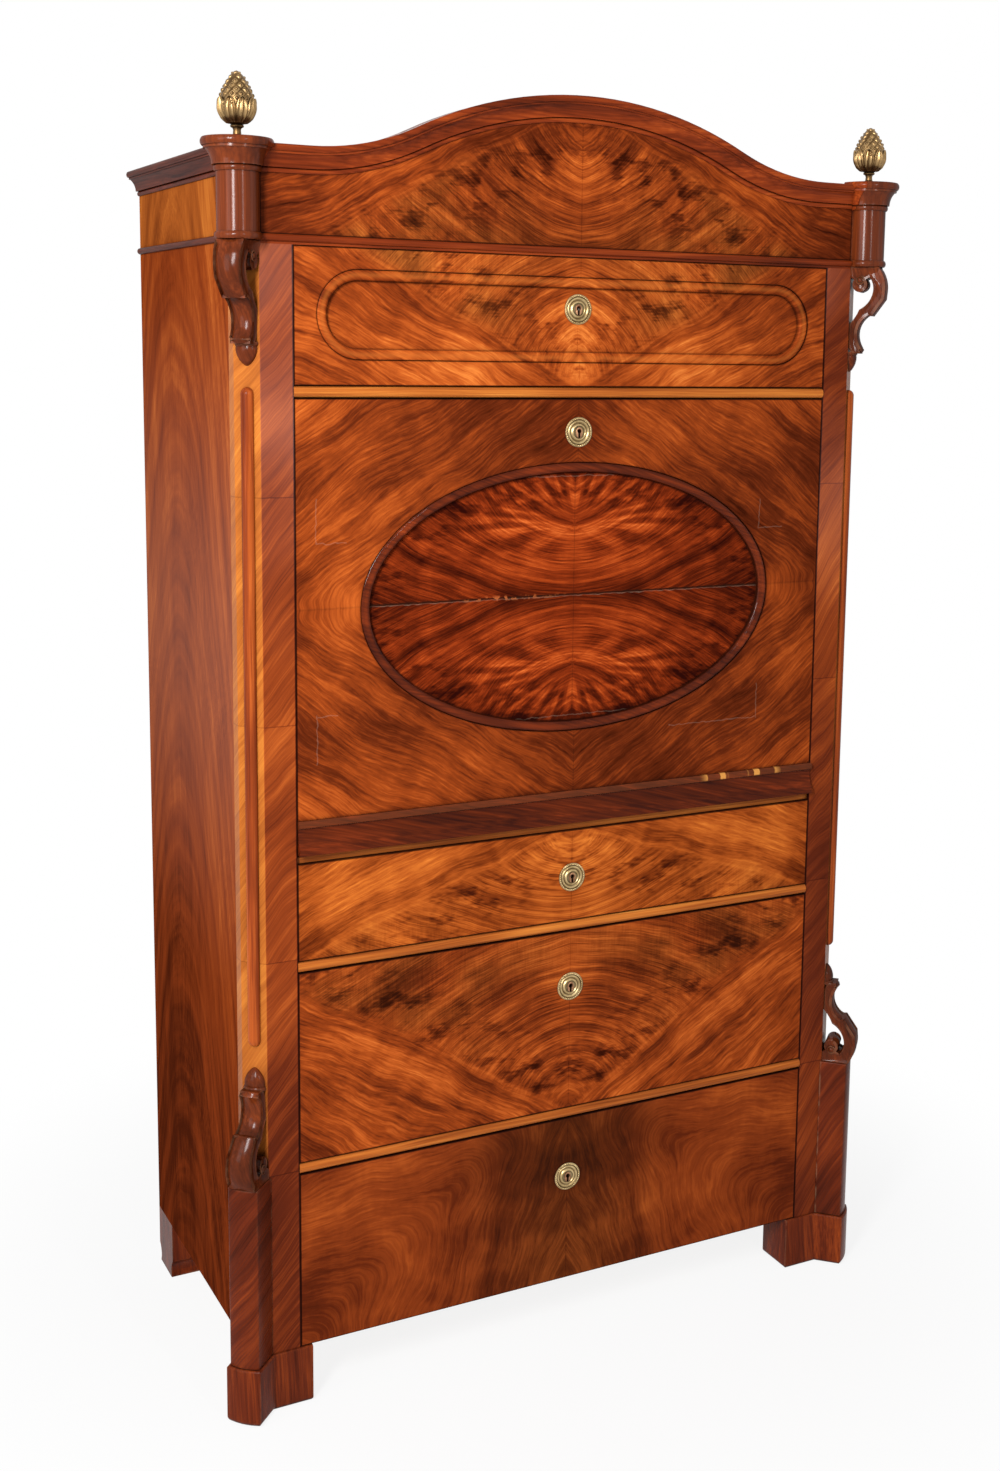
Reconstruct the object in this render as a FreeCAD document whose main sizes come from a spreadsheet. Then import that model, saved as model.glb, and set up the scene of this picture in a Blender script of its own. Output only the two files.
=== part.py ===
import FreeCAD, Part
import math
import os
import re

import Sketcher

# Fall-front secretary. Millimetres, +Z up, the front faces -Y.
# The origin is on the floor, at the centre of the outline seen from above.
# Heights in the sheet are above the floor, depths are behind the face of the stiles.

doc = FreeCAD.newDocument("Secretary")
sheet = doc.addObject("Spreadsheet::Sheet", "Sheet")

DRIVING = {
    # plan of the carcass
    "opening_width": 800,
    "stile_width": 42,
    "cant_leg": 26,
    "post_depth": 45,
    "body_depth": 462,
    "side_thick": 20,
    "back_thick": 12,
    "joint_gap": 1,
    "slide_gap": 0.3,
    "seam_gap": 0.5,
    "board_setback": 2,
    # openings and the rails between them, from the floor up
    "foot_height": 80,
    "side_lift": 6,
    "floor_lift": 2,
    "floor_thick": 16,
    "bottom_open": 244.5,
    "middle_open": 261,
    "upper_open": 130.5,
    "fall_open": 588,
    "top_open": 171,
    "frieze_height": 105.5,
    "rail_height": 15.5,
    "rail_depth": 60,
    "rail_proud": 2,
    "slip_height": 8,
    "slip_setback": 5,
    "frieze_shelf_thick": 12,
    "bead_height": 9,
    "top_board_thick": 18,
    "runner_width": 88,
    "guide_height": 24,
    # cornice and capitals
    "cornice_height": 33,
    "capital_rise": 4,
    "capital_height": 39,
    "astragal_reach": 3,
    "astragal_swell": 1.5,
    "cove_low_reach": 5,
    "cove_high_reach": 12.5,
    "fillet_reach": 14.5,
    "lip_reach": 18,
    "lip_swell": 2,
    # fall and its pivot
    "fall_thick": 26,
    "fall_gap": 4,
    "pivot_depth": 7,
    "pivot_rise": 41,
    "pivot_radius": 3.5,
    "pivot_reach": 14,
    "running_gap": 0.05,
    "stop_height": 12,
    "stop_gap": 0.5,
    "bed_thick": 16,
    "moulding_height": 45,
    "moulding_reach": 9,
    "oval_margin": 87,
    "oval_half_height": 185,
    "ring_width": 14,
    "recess_depth": 7,
    "ring_round": 4,
    "leather_thick": 1.5,
    "leather_side": 60,
    "leather_heel": 126,
    "leather_head": 72,
    # drawers
    "front_thick": 22,
    "pediment_thick": 20,
    "box_wall": 12,
    "box_floor": 8,
    "box_groove": 6,
    "box_drop": 12,
    "box_back_drop": 4,
    "box_side_gap": 1.5,
    "box_rear_gap": 30,
    "stadium_margin": 30,
    "stadium_half_height": 56.5,
    "stadium_lift": 2.5,
    # arched pediment
    "arch_rise": 88,
    "arch_foot_flat": 60,
    "arch_foot_run": 140,
    # corner columns and finials
    "column_radius": 26,
    "column_bead": 3,
    "column_bead_swell": 2,
    "seam_reach": 27,
    "finial_height": 79,
    "finial_radius": 23.5,
    "finial_foot": 9,
    "finial_stem": 5,
    # scrolls, rods and pedestals on the cants
    "console_drop": 124,
    "console_reach": 51,
    "console_top_width": 38,
    "console_low_width": 27,
    "bud_length": 27,
    "bud_width": 24,
    "bud_reach": 9,
    "rod_radius": 8.5,
    "rod_low_gap": 29,
    "rod_high_gap": 25.5,
    "pedestal_height": 248,
    "pedestal_half": 21,
    "pedestal_reach": 42,
    "pedestal_bow": 4,
    "foot_lap": 3.5,
    "foot_lip": 3,
    "foot_round": 9,
    "heel_round": 6,
    "foot_inner_lap": 16,
    "foot_depth": 58,
    "rear_foot": 72,
    # writing compartment
    "stage_front": 172,
    "lining_thick": 12,
    "niche_half": 150,
    "stage_wall": 10,
    "stage_open": 294.7,
    "bay_open": 142.7,
    "bay_shelf_thick": 8,
    "pigeon_half": 80,
    "pigeon_wall": 8,
    "pigeon_setback": 20,
    "small_wall": 8,
    "small_floor": 5,
    "small_front": 12,
    "small_drop": 10,
    "small_side_gap": 0.5,
    "small_rear_gap": 20,
    "knob_radius": 9,
    "knob_length": 18,
    # locks and escutcheons; each key stands below the top of its opening
    "plate_radius": 20,
    "plate_thick": 3.6,
    "keyhole_radius": 3.5,
    "keyhole_half_slot": 1.6,
    "keyhole_tail": 9,
    "key_post_shy": 4,
    "lock_half": 30,
    "lock_depth": 12,
    "lock_below": 18,
    "selvedge_half": 38,
    "selvedge_thick": 3,
    "bolt_half": 10,
    "bolt_thick": 5,
    "bolt_rise": 14,
    "bolt_shy": 0.5,
    "bolt_gap": 0.4,
    "bolt_throw": 7,
    "mortise_gap": 1,
    "mortise_floor": 2,
    "bottom_key_drop": 88.5,
    "middle_key_drop": 81,
    "upper_key_drop": 68,
    "fall_key_drop": 45,
    "top_key_drop": 68.5,
}

DERIVED = {
    "half_open": "opening_width / 2",
    "half_body": "half_open + stile_width + cant_leg",
    "half_inner": "half_body - side_thick",
    "capital_radius": "column_radius + lip_reach",
    "front_y": "capital_radius - (body_depth + capital_radius) / 2",
    "back_face": "body_depth - back_thick",
    "box_back": "back_face - box_rear_gap",
    "small_back": "back_face - small_rear_gap",
    "corner_x": "half_open + stile_width + cant_leg / 2",
    "corner_y": "cant_leg / 2",
    "cant_half": "cant_leg * sqrt(2) / 2",
    "seam_x": "half_body - seam_reach",
    "pediment_half": "seam_x - seam_gap",
    "side_bottom": "foot_height + side_lift",
    "bottom_board_low": "side_bottom + floor_lift",
    "bottom_seat": "bottom_board_low + floor_thick",
    "rail_3_low": "foot_height + bottom_open",
    "middle_seat": "rail_3_low + rail_height",
    "rail_2_low": "middle_seat + middle_open",
    "upper_seat": "rail_2_low + rail_height",
    "slip_low": "upper_seat + upper_open",
    "slip_top": "slip_low + slip_height",
    "fall_bottom": "slip_top + fall_gap",
    "pivot_height": "fall_bottom + pivot_rise",
    "bed_low": "pivot_height + fall_thick - pivot_depth + slide_gap",
    "bed_top": "bed_low + bed_thick",
    "top_rail_low": "slip_top + fall_open",
    "fall_top": "top_rail_low - joint_gap",
    "top_seat": "top_rail_low + rail_height",
    "frieze_shelf_low": "top_seat + top_open",
    "pediment_seat": "frieze_shelf_low + frieze_shelf_thick",
    "bead_low": "pediment_seat - bead_height",
    "cornice_top": "pediment_seat + frieze_height",
    "capital_top": "cornice_top + capital_rise",
    "roof_low": "cornice_top - top_board_thick",
    "box_half": "half_open - box_side_gap",
    "pediment_box_half": "seam_x - box_side_gap",
    "front_half": "half_open - joint_gap",
    "fall_half": "half_open - joint_gap",
    "moulding_top": "fall_bottom + moulding_height",
    "oval_half_width": "half_open - oval_margin",
    "oval_height": "(moulding_top + fall_top) / 2",
    "leather_half_width": "half_open - leather_side",
    "leather_low": "fall_bottom + leather_heel",
    "leather_high": "fall_top - leather_head",
    "stadium_half_width": "half_open - stadium_margin",
    "stadium_height": "(top_seat + frieze_shelf_low) / 2 + stadium_lift",
    "arch_half_span": "seam_x - arch_foot_flat",
    "arch_shoulder": "arch_half_span - arch_foot_run",
    "arch_slope": "arch_rise / arch_half_span",
    "arch_sine": "2 * arch_slope / (1 + arch_slope ^ 2)",
    "arch_crown_radius": "arch_shoulder / arch_sine",
    "arch_foot_radius": "arch_foot_run / arch_sine",
    "arch_turn": "cornice_top + arch_rise * (1 - arch_shoulder / arch_half_span)",
    "pedestal_top": "foot_height + pedestal_height",
    "rod_low": "pedestal_top + console_drop + bud_length + rod_low_gap",
    "rod_high": "bead_low - console_drop - bud_length - rod_high_gap",
    "foot_inner": "half_open - foot_inner_lap",
    "bay_shelf_low": "bed_top + bay_open",
    "stage_shelf_low": "bed_top + stage_open",
    "bottom_key": "rail_3_low - bottom_key_drop",
    "middle_key": "rail_2_low - middle_key_drop",
    "upper_key": "slip_low - upper_key_drop",
    "fall_key": "top_rail_low - fall_key_drop",
    "top_key": "frieze_shelf_low - top_key_drop",
}

for row, (alias, size) in enumerate(DRIVING.items(), start=1):
    sheet.set(f"A{row}", alias)
    sheet.set(f"B{row}", str(size))
    sheet.setAlias(f"B{row}", alias)
for row, (alias, rule) in enumerate(DERIVED.items(), start=1):
    sheet.set(f"D{row}", alias)
    sheet.set(f"E{row}", f"={rule}")
    sheet.setAlias(f"E{row}", alias)
doc.recompute()

NAMES = sorted({**DRIVING, **DERIVED}, key=len, reverse=True)
NAME_PATTERN = re.compile(r"\b(" + "|".join(NAMES) + r")\b")
Z_AXIS = FreeCAD.Vector(0, 0, 1)
X_AXIS = FreeCAD.Vector(1, 0, 0)
SKIN = 0.1
LEFT, RIGHT = -1, 1
SIDES = ((LEFT, "left"), (RIGHT, "right"))
nodes = {}


def bound(rule):
    """A rule written with the sheet's names, as an expression on the sheet's cells."""
    return NAME_PATTERN.sub(r"Sheet.\1", str(rule))


def measure(rule):
    """The present value of a rule, in millimetres."""
    found = sheet.evalExpression(bound(rule))
    return float(getattr(found, "Value", found))


def node(name, *pieces):
    """Register a finished node: one piece, or a group of separate solids."""
    if len(pieces) == 1:
        item = pieces[0]
    else:
        item = doc.addObject("Part::Compound", f"{name}_group")
        item.Links = list(pieces)
    item.Label = name
    nodes[name] = item
    return item


def board(label, x, y, z):
    """A rectangular board between (low, high) rules along each axis."""
    box = doc.addObject("Part::Box", label)
    for size, axis, (low, high) in (("Length", "x", x), ("Width", "y", y), ("Height", "z", z)):
        start = f"front_y + ({low})" if axis == "y" else low
        box.setExpression(size, bound(f"({high}) - ({low})"))
        box.setExpression(f"Placement.Base.{axis}", bound(start))
    return box


def span(half):
    """A (low, high) pair of rules centred on the middle of the piece."""
    return (f"-({half})", half)


def flank(side, near, far):
    """A (low, high) pair of rules on one side of the middle."""
    return (near, far) if side == RIGHT else (f"-({far})", f"-({near})")


def cut(label, base, *tools):
    """The base with the tools taken out of it."""
    tool = tools[0]
    if len(tools) > 1:
        tool = doc.addObject("Part::MultiFuse", f"{label}_tools")
        tool.Shapes = list(tools)
    result = doc.addObject("Part::Cut", label)
    result.Base = base
    result.Tool = tool
    return result


def common(label, first, second):
    """What two pieces share."""
    result = doc.addObject("Part::Common", label)
    result.Base = first
    result.Tool = second
    return result


def fuse(label, *pieces):
    """Pieces that are glued up as one."""
    result = doc.addObject("Part::MultiFuse", label)
    result.Shapes = list(pieces)
    return result


def new_body(label, x="0", y="0", z="0", turn=0, axis=Z_AXIS):
    """An empty body placed by rules; y is measured from the face of the stiles."""
    body = doc.addObject("PartDesign::Body", label)
    body.Placement = FreeCAD.Placement(FreeCAD.Vector(), FreeCAD.Rotation(axis, turn))
    for letter, rule in (("x", x), ("y", f"front_y + ({y})"), ("z", z)):
        body.setExpression(f"Placement.Base.{letter}", bound(rule))
    return body


def new_sketch(body, plane, lift="0"):
    """An empty sketch on one of the body's own planes, lifted along its normal."""
    sketch = body.newObject("Sketcher::SketchObject", "Sketch")
    support = [item for item in body.Origin.OriginFeatures if item.Role == plane][0]
    sketch.AttachmentSupport = (support, "")
    sketch.MapMode = "FlatFace"
    sketch.setExpression("AttachmentOffset.Base.z", bound(lift))
    return sketch


def arc_centre(start, end, radius, bend):
    """Centre of the arc under half a turn from start to end; bend 1 turns left, -1 right."""
    middle = (start + end) * 0.5
    chord = end - start
    reach = math.sqrt(max(radius**2 - (chord.Length / 2) ** 2, 0))
    normal = FreeCAD.Vector(-chord.y, chord.x, 0).normalize()
    return middle + normal * (reach * bend)


def share_of_chord(corners, side, share):
    """Rule for a radius that is a share of the straight distance between a side's ends."""
    (x_1, y_1), (x_2, y_2) = corners[side], corners[(side + 1) % len(corners)]
    return f"{share} * sqrt((({x_2}) - ({x_1})) ^ 2 + (({y_2}) - ({y_1})) ^ 2)"


def draw_outline(sketch, corners, arcs=None, closed=True):
    """Draw lines and arcs through corners given as pairs of rules.

    arcs maps a side's number to (radius, bend). The radius is a rule, or a plain number that
    makes it that share of the side's chord. Every corner and radius is constrained.
    """
    arcs = {
        side: (radius if isinstance(radius, str) else share_of_chord(corners, side, radius), bend)
        for side, (radius, bend) in (arcs or {}).items()
    }
    points = [FreeCAD.Vector(measure(x), measure(y), 0) for x, y in corners]
    count = len(corners) if closed else len(corners) - 1
    ends = []
    for side in range(count):
        start, end = points[side], points[(side + 1) % len(points)]
        if side in arcs:
            rule, bend = arcs[side]
            centre = arc_centre(start, end, measure(rule), bend)
            first, last = (start, end) if bend > 0 else (end, start)
            angles = [math.atan2(p.y - centre.y, p.x - centre.x) for p in (first, last)]
            circle = Part.Circle(centre, Z_AXIS, (start - centre).Length)
            sketch.addGeometry(Part.ArcOfCircle(circle, *angles))
            ends.append((1, 2) if bend > 0 else (2, 1))
        else:
            sketch.addGeometry(Part.LineSegment(start, end))
            ends.append((1, 2))
    for side in range(count if closed else count - 1):
        follower = (side + 1) % count
        link = Sketcher.Constraint("Coincident", side, ends[side][1], follower, ends[follower][0])
        sketch.addConstraint(link)
    places = [(side, ends[side][0]) for side in range(count)]
    if not closed:
        places.append((count - 1, ends[-1][1]))
    for number, (geometry, end) in enumerate(places):
        for letter, rule, value in zip("XY", corners[number], points[number]):
            name = f"{letter.lower()}{number}"
            tie = Sketcher.Constraint(f"Distance{letter}", -1, 1, geometry, end, value)
            sketch.renameConstraint(sketch.addConstraint(tie), name)
            sketch.setExpression(f"Constraints.{name}", bound(rule))
    for side, (rule, _) in arcs.items():
        tie = Sketcher.Constraint("Radius", side, measure(rule))
        sketch.renameConstraint(sketch.addConstraint(tie), f"radius{side}")
        sketch.setExpression(f"Constraints.radius{side}", bound(rule))
    return sketch


def draw_ellipse(sketch, half_width, half_height, height):
    """An upright ellipse on the middle line, its two half axes bound to rules."""
    a, b, z = measure(half_width), measure(half_height), measure(height)
    centre = FreeCAD.Vector(0, z, 0)
    ellipse = Part.Ellipse(FreeCAD.Vector(a, z, 0), FreeCAD.Vector(0, z + b, 0), centre)
    index = sketch.addGeometry(ellipse)
    sketch.exposeInternalGeometry(index)
    major, minor = index + 1, index + 2
    ties = (
        ("centre_x", "DistanceX", (-1, 1, index, 3), "0"),
        ("centre_z", "DistanceY", (-1, 1, index, 3), height),
        ("major_axis", "Distance", (major,), f"2 * ({half_width})"),
        ("minor_axis", "Distance", (minor,), f"2 * ({half_height})"),
    )
    sketch.addConstraint(Sketcher.Constraint("Horizontal", major))
    for name, kind, places, rule in ties:
        tie = Sketcher.Constraint(kind, *places, measure(rule))
        number = sketch.addConstraint(tie)
        sketch.renameConstraint(number, f"{name}{index}")
        sketch.setExpression(f"Constraints.{name}{index}", bound(rule))


def add_pad(body, sketch, length, name="Pad"):
    """Extrude a sketch along its plane's normal."""
    pad = body.newObject(f"PartDesign::{name}", name)
    pad.Profile = sketch
    pad.setExpression("Length", bound(length))
    return pad


def extrude(label, plane, corners, low, high, arcs=None, **place):
    """A body extruded between two rules; along Y the XZ plane's normal points forward."""
    body = new_body(label, **place)
    lift = f"-({high})" if plane == "XZ_Plane" else low
    sketch = draw_outline(new_sketch(body, plane, lift), corners, arcs)
    add_pad(body, sketch, f"({high}) - ({low})")
    return body


def turn(label, corners, arcs=None, sweep_angle=360, **place):
    """A body turned about its own Z axis from (radius, height) corners.

    Less than a whole turn lies evenly about the body's own +X.
    """
    body = new_body(label, **place)
    sketch = draw_outline(new_sketch(body, "XZ_Plane"), corners, arcs)
    solid = body.newObject("PartDesign::Revolution", "Revolution")
    solid.Profile = sketch
    solid.ReferenceAxis = (sketch, ["V_Axis"])
    solid.Angle = sweep_angle
    solid.Midplane = sweep_angle < 360
    return body


def soften(body, radius, chosen):
    """Round the edges of the body's last feature that the test picks."""
    doc.recompute()
    last = body.Tip
    names = [f"Edge{n}" for n, edge in enumerate(last.Shape.Edges, start=1) if chosen(edge)]
    fillet = body.newObject("PartDesign::Fillet", "Fillet")
    fillet.Base = (last, names)
    fillet.setExpression("Radius", bound(radius))
    return body


def at_corner(side, facing=0):
    """Placement of a piece on a cant: its -Y, turned by facing, looks out along the diagonal."""
    return {"x": f"{side} * corner_x", "y": "corner_y", "turn": 45 * side + facing}


def mirror_x(corners, side):
    """Corners drawn for the right-hand side, put on the given side."""
    return [(f"{side} * ({x})", y) for x, y in corners]


def mirror_bends(arcs, side):
    """Arcs drawn for the right-hand side, bent for the given side."""
    return {number: (rule, bend * side) for number, (rule, bend) in arcs.items()}


# Carcass boards

for side, name in SIDES:
    node(
        f"{name}_side_panel",
        board(
            f"{name}_side",
            flank(side, "half_inner", "half_body"),
            ("post_depth", "body_depth"),
            ("side_bottom", "cornice_top"),
        ),
    )


def notched_board(label, narrow, front, low, high):
    """A board as wide as the inside, its front end narrowed to pass between the posts."""
    corners = [
        (f"-({narrow})", front),
        (narrow, front),
        (narrow, "post_depth"),
        ("half_inner", "post_depth"),
        ("half_inner", "back_face"),
        ("-half_inner", "back_face"),
        ("-half_inner", "post_depth"),
        (f"-({narrow})", "post_depth"),
    ]
    return extrude(label, "XY_Plane", corners, low, high)


BEHIND_DRAWERS = "front_thick + board_setback"
BEHIND_FALL = "fall_thick + board_setback"
BEHIND_PEDIMENT = "pediment_thick + board_setback"
node("bottom_board", notched_board("floor", "half_open", BEHIND_DRAWERS, "bottom_board_low", "bottom_seat"))
node("top_board", notched_board("roof", "seam_x", BEHIND_PEDIMENT, "roof_low", "cornice_top"))
node("writing_bed", notched_board("bed", "half_open", BEHIND_FALL, "bed_low", "bed_top"))

BACK_BOARDS = 3
back_boards = []
for number in range(BACK_BOARDS):
    edges = [f"half_inner * ({2 * step} / {BACK_BOARDS} - 1)" for step in (number, number + 1)]
    heights = ("bottom_board_low", "cornice_top")
    back_boards.append(board(f"back_{number}", edges, ("back_face", "body_depth"), heights))
node("back_boards", *back_boards)

node(
    "upper_shelf",
    board("shelf", span("half_inner"), ("rail_depth", "back_face"), ("top_rail_low", "top_seat")),
    board(
        "fall_stop",
        span("half_open"),
        ("fall_thick + stop_gap", "post_depth"),
        ("top_rail_low - stop_height", "top_rail_low"),
    ),
)
linings = [
    board(
        f"{name}_lining",
        flank(side, "half_open", "half_open + lining_thick"),
        ("post_depth", "back_face"),
        ("bed_top", "top_rail_low"),
    )
    for side, name in SIDES
]
node("compartment_linings", *linings)

# Canted corner posts, with the square frieze block that the column is notched over

for side, name in SIDES:
    post = extrude(
        f"{name}_post",
        "XY_Plane",
        mirror_x(
            [
                ("half_open", "0"),
                ("half_open + stile_width", "0"),
                ("half_body", "cant_leg"),
                ("half_body", "post_depth"),
                ("half_open", "post_depth"),
            ],
            side,
        ),
        "foot_height",
        "frieze_shelf_low",
    )
    block = mirror_x(
        [("seam_x", "0"), ("half_body", "0"), ("half_body", "post_depth"), ("seam_x", "post_depth")],
        side,
    )
    sketch = draw_outline(new_sketch(post, "XY_Plane", "frieze_shelf_low"), block)
    add_pad(post, sketch, "cornice_top - frieze_shelf_low")
    socket = doc.addObject("Part::Cylinder", f"{name}_socket")
    pin = doc.addObject("Part::Cylinder", f"{name}_pin")
    for round_bar, start, length in (
        (socket, "half_open", "pivot_reach"),
        (pin, "half_open - pivot_reach", "2 * pivot_reach"),
    ):
        round_bar.Placement.Rotation = FreeCAD.Rotation(FreeCAD.Vector(0, 1, 0), 90 * side)
        round_bar.setExpression("Radius", bound("pivot_radius"))
        round_bar.setExpression("Height", bound(length))
        round_bar.setExpression("Placement.Base.x", bound(f"{side} * ({start})"))
        round_bar.setExpression("Placement.Base.y", bound("front_y + pivot_depth"))
        round_bar.setExpression("Placement.Base.z", bound("pivot_height"))
    wedge = extrude(
        f"{name}_block_cant",
        "XY_Plane",
        mirror_x([("half_open + stile_width", "0"), ("half_body", "0"), ("half_body", "cant_leg")], side),
        "frieze_shelf_low",
        "bead_low",
    )
    node(f"{name}_corner_post", cut(f"{name}_bored_post", post, socket, wedge))
node("pivot_pins", doc.left_pin, doc.right_pin)


# Rails with half-round noses, each mortised underneath for a lock bolt

def mortise(label, depth, low, height):
    """The slot that a lock bolt shoots into, above the middle of a front."""
    half_thick = "(bolt_thick / 2 + mortise_gap)"
    return board(
        label,
        span("bolt_half + mortise_gap"),
        (f"({depth}) - {half_thick}", f"({depth}) + {half_thick}"),
        (low, f"({low}) + ({height})"),
    )


DRAWER_BOLT = "front_thick - lock_depth / 2"
FALL_BOLT = "fall_thick - lock_depth / 2"
MORTISE_DEEP = "bolt_throw + mortise_floor"


def nosed_rail(label, low, bolt_depth):
    """A rail between the posts whose half-round nose stands just proud of the fronts."""
    nose = "rail_height / 2"
    shoulder = f"{nose} - rail_proud"
    tip = "-rail_proud"
    corners = [
        ("rail_depth", low),
        ("rail_depth", f"{low} + rail_height"),
        (shoulder, f"{low} + rail_height"),
        (tip, f"{low} + {nose}"),
        (shoulder, low),
    ]
    arcs = {2: (nose, 1), 3: (nose, 1)}
    rail = extrude(f"{label}_bar", "YZ_Plane", corners, "-half_open", "half_open", arcs)
    return cut(label, rail, mortise(f"{label}_mortise", bolt_depth, low, MORTISE_DEEP))


slip_bar = board("slip_bar", span("half_open"), ("slip_setback", "rail_depth"), ("slip_low", "slip_top"))
node(
    "drawer_rails",
    nosed_rail("rail_1", "top_rail_low", FALL_BOLT),
    nosed_rail("rail_2", "rail_2_low", DRAWER_BOLT),
    nosed_rail("rail_3", "rail_3_low", DRAWER_BOLT),
    cut("slip_rail", slip_bar, mortise("slip_mortise", DRAWER_BOLT, "slip_low", "slip_height")),
)

runners = []
for side, name in SIDES:
    for level in ("rail_2_low", "rail_3_low"):
        runners.append(
            board(
                f"{name}_runner",
                flank(side, "half_inner - runner_width", "half_inner"),
                ("rail_depth", "back_face"),
                (level, f"{level} + rail_height"),
            )
        )
    for seat in ("bottom_seat", "middle_seat", "upper_seat", "top_seat"):
        runners.append(
            board(
                f"{name}_guide",
                flank(side, "half_open", "half_inner"),
                ("post_depth", "back_face"),
                (seat, f"{seat} + guide_height"),
            )
        )
    runners.append(
        board(
            f"{name}_frieze_guide",
            flank(side, "seam_x", "half_inner"),
            ("post_depth", "back_face"),
            ("pediment_seat", "pediment_seat + guide_height"),
        )
    )
node("drawer_runners", *runners)

frieze_board = notched_board("frieze_board", "seam_x", "0", "frieze_shelf_low", "pediment_seat")
bead_round = "bead_height / 2"
frieze_bead = extrude(
    "frieze_bead",
    "YZ_Plane",
    [("0", "bead_low"), ("0", "pediment_seat"), (f"-{bead_round}", f"bead_low + {bead_round}")],
    "-seam_x",
    "seam_x",
    {1: (bead_round, 1), 2: (bead_round, 1)},
)
frieze_mortise = mortise("frieze_mortise", DRAWER_BOLT, "frieze_shelf_low", MORTISE_DEEP)
node("frieze_shelf", cut("frieze_plate", frieze_board, frieze_mortise), frieze_bead)


# The cornice profile, shared by the capitals, the side cornices and the arch

def cornice_profile(reach, back, top, height):
    """Corners from the top back round the lip, fillet, cove and astragal; arcs by side.

    reach(rule) turns a distance out from the frieze into the sketch's first coordinate,
    and back is the coordinate of the plain back edge.
    """
    level = [f"({top}) - ({height}) * {part}" for part in (0, 0.25, 0.33, 0.81, 1)]
    lip_back = "lip_reach - lip_swell"
    astragal_back = "astragal_reach - astragal_swell"
    corners = [
        (back, level[0]),
        (reach(lip_back), level[0]),
        (reach(lip_back), level[1]),
        (reach("fillet_reach"), level[1]),
        (reach("fillet_reach"), level[2]),
        (reach("cove_high_reach"), level[2]),
        (reach("cove_low_reach"), level[3]),
        (reach(astragal_back), level[3]),
        (reach(astragal_back), level[4]),
        (back, level[4]),
    ]
    half_lip = f"({height}) * 0.125"
    half_bead = f"({height}) * 0.095"
    rise = f"({height}) * 0.48"
    run = "(cove_high_reach - cove_low_reach)"
    arcs = {
        1: (f"(({half_lip}) ^ 2 + lip_swell ^ 2) / (2 * lip_swell)", -1),
        5: (f"(({rise}) ^ 2 + {run} ^ 2) / (2 * {run})", 1),
        7: (f"(({half_bead}) ^ 2 + astragal_swell ^ 2) / (2 * astragal_swell)", -1),
    }
    return corners, arcs


def turned_corner(label, side, low):
    """Column and capital, or only the capital, turned as one piece on the corner."""
    corners, arcs = cornice_profile(
        lambda rule: f"column_radius + {rule}", "0", "capital_top", "capital_height"
    )
    bead_reach = "column_radius + column_bead - column_bead_swell"
    if low == "shaft":
        corners = corners[:-1] + [
            ("column_radius", "capital_top - capital_height"),
            ("column_radius", "pediment_seat"),
            (bead_reach, "pediment_seat"),
            (bead_reach, "bead_low"),
            ("0", "bead_low"),
        ]
        arcs[11] = (f"(({bead_round}) ^ 2 + column_bead_swell ^ 2) / (2 * column_bead_swell)", -1)
    return turn(label, corners, arcs, x=f"{side} * half_body", y="0")


columns = []
finials = []
side_mouldings = []
for side, name in SIDES:
    blank = turned_corner(f"{name}_turning", side, "shaft")
    notch = board(
        f"{name}_notch",
        flank(side, "half_body - 2 * capital_radius", "half_body"),
        ("0", "3 * capital_radius"),
        ("0", "cornice_top"),
    )
    seam = board(
        f"{name}_seam",
        flank(side, "half_body - 2 * capital_radius", "seam_x"),
        ("-2 * capital_radius", "2 * capital_radius"),
        ("0", "2 * cornice_top"),
    )
    rear = board(
        f"{name}_rear",
        flank(side, "seam_x - capital_radius", "half_body + 2 * capital_radius"),
        ("seam_reach", "3 * capital_radius"),
        ("0", "2 * cornice_top"),
    )
    columns.append(cut(f"{name}_column", blank, notch, seam, rear))

    finial_corners = [
        ("0", "0"),
        ("finial_foot", "0"),
        ("finial_foot", "0.02 * finial_height"),
        ("finial_stem", "0.09 * finial_height"),
        ("finial_stem", "0.15 * finial_height"),
        ("0.43 * finial_radius", "0.215 * finial_height"),
        ("finial_radius", "0.42 * finial_height"),
        ("0.72 * finial_radius", "0.66 * finial_height"),
        ("0.13 * finial_radius", "finial_height"),
        ("0", "finial_height"),
    ]
    finial_arcs = {2: (1.03, -1), 4: (0.99, -1), 5: (0.807, 1), 6: (1.594, 1), 7: (1.98, 1)}
    place = {"x": f"{side} * half_body", "y": "0", "z": "capital_top"}
    finials.append(turn(f"{name}_finial", finial_corners, finial_arcs, **place))

    corners, arcs = cornice_profile(
        lambda rule: f"half_body + {rule}", "half_body", "cornice_top", "cornice_height"
    )
    side_mouldings.append(
        extrude(
            f"{name}_side_cornice",
            "XZ_Plane",
            mirror_x(corners, side),
            "seam_reach",
            "body_depth",
            mirror_bends(arcs, side),
        )
    )
    bead_corners = [
        ("half_body", "bead_low"),
        (f"half_body + {bead_round}", f"bead_low + {bead_round}"),
        ("half_body", "pediment_seat"),
    ]
    bead_arcs = {0: (bead_round, 1), 1: (bead_round, 1)}
    side_mouldings.append(
        extrude(
            f"{name}_side_bead",
            "XZ_Plane",
            mirror_x(bead_corners, side),
            "seam_reach",
            "body_depth",
            mirror_bends(bead_arcs, side),
        )
    )
node("corner_columns", *columns)
node("finials", *finials)
node("side_mouldings", *side_mouldings)


# Scroll consoles on the cants: outline as shares of the reach outwards and of the drop

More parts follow.
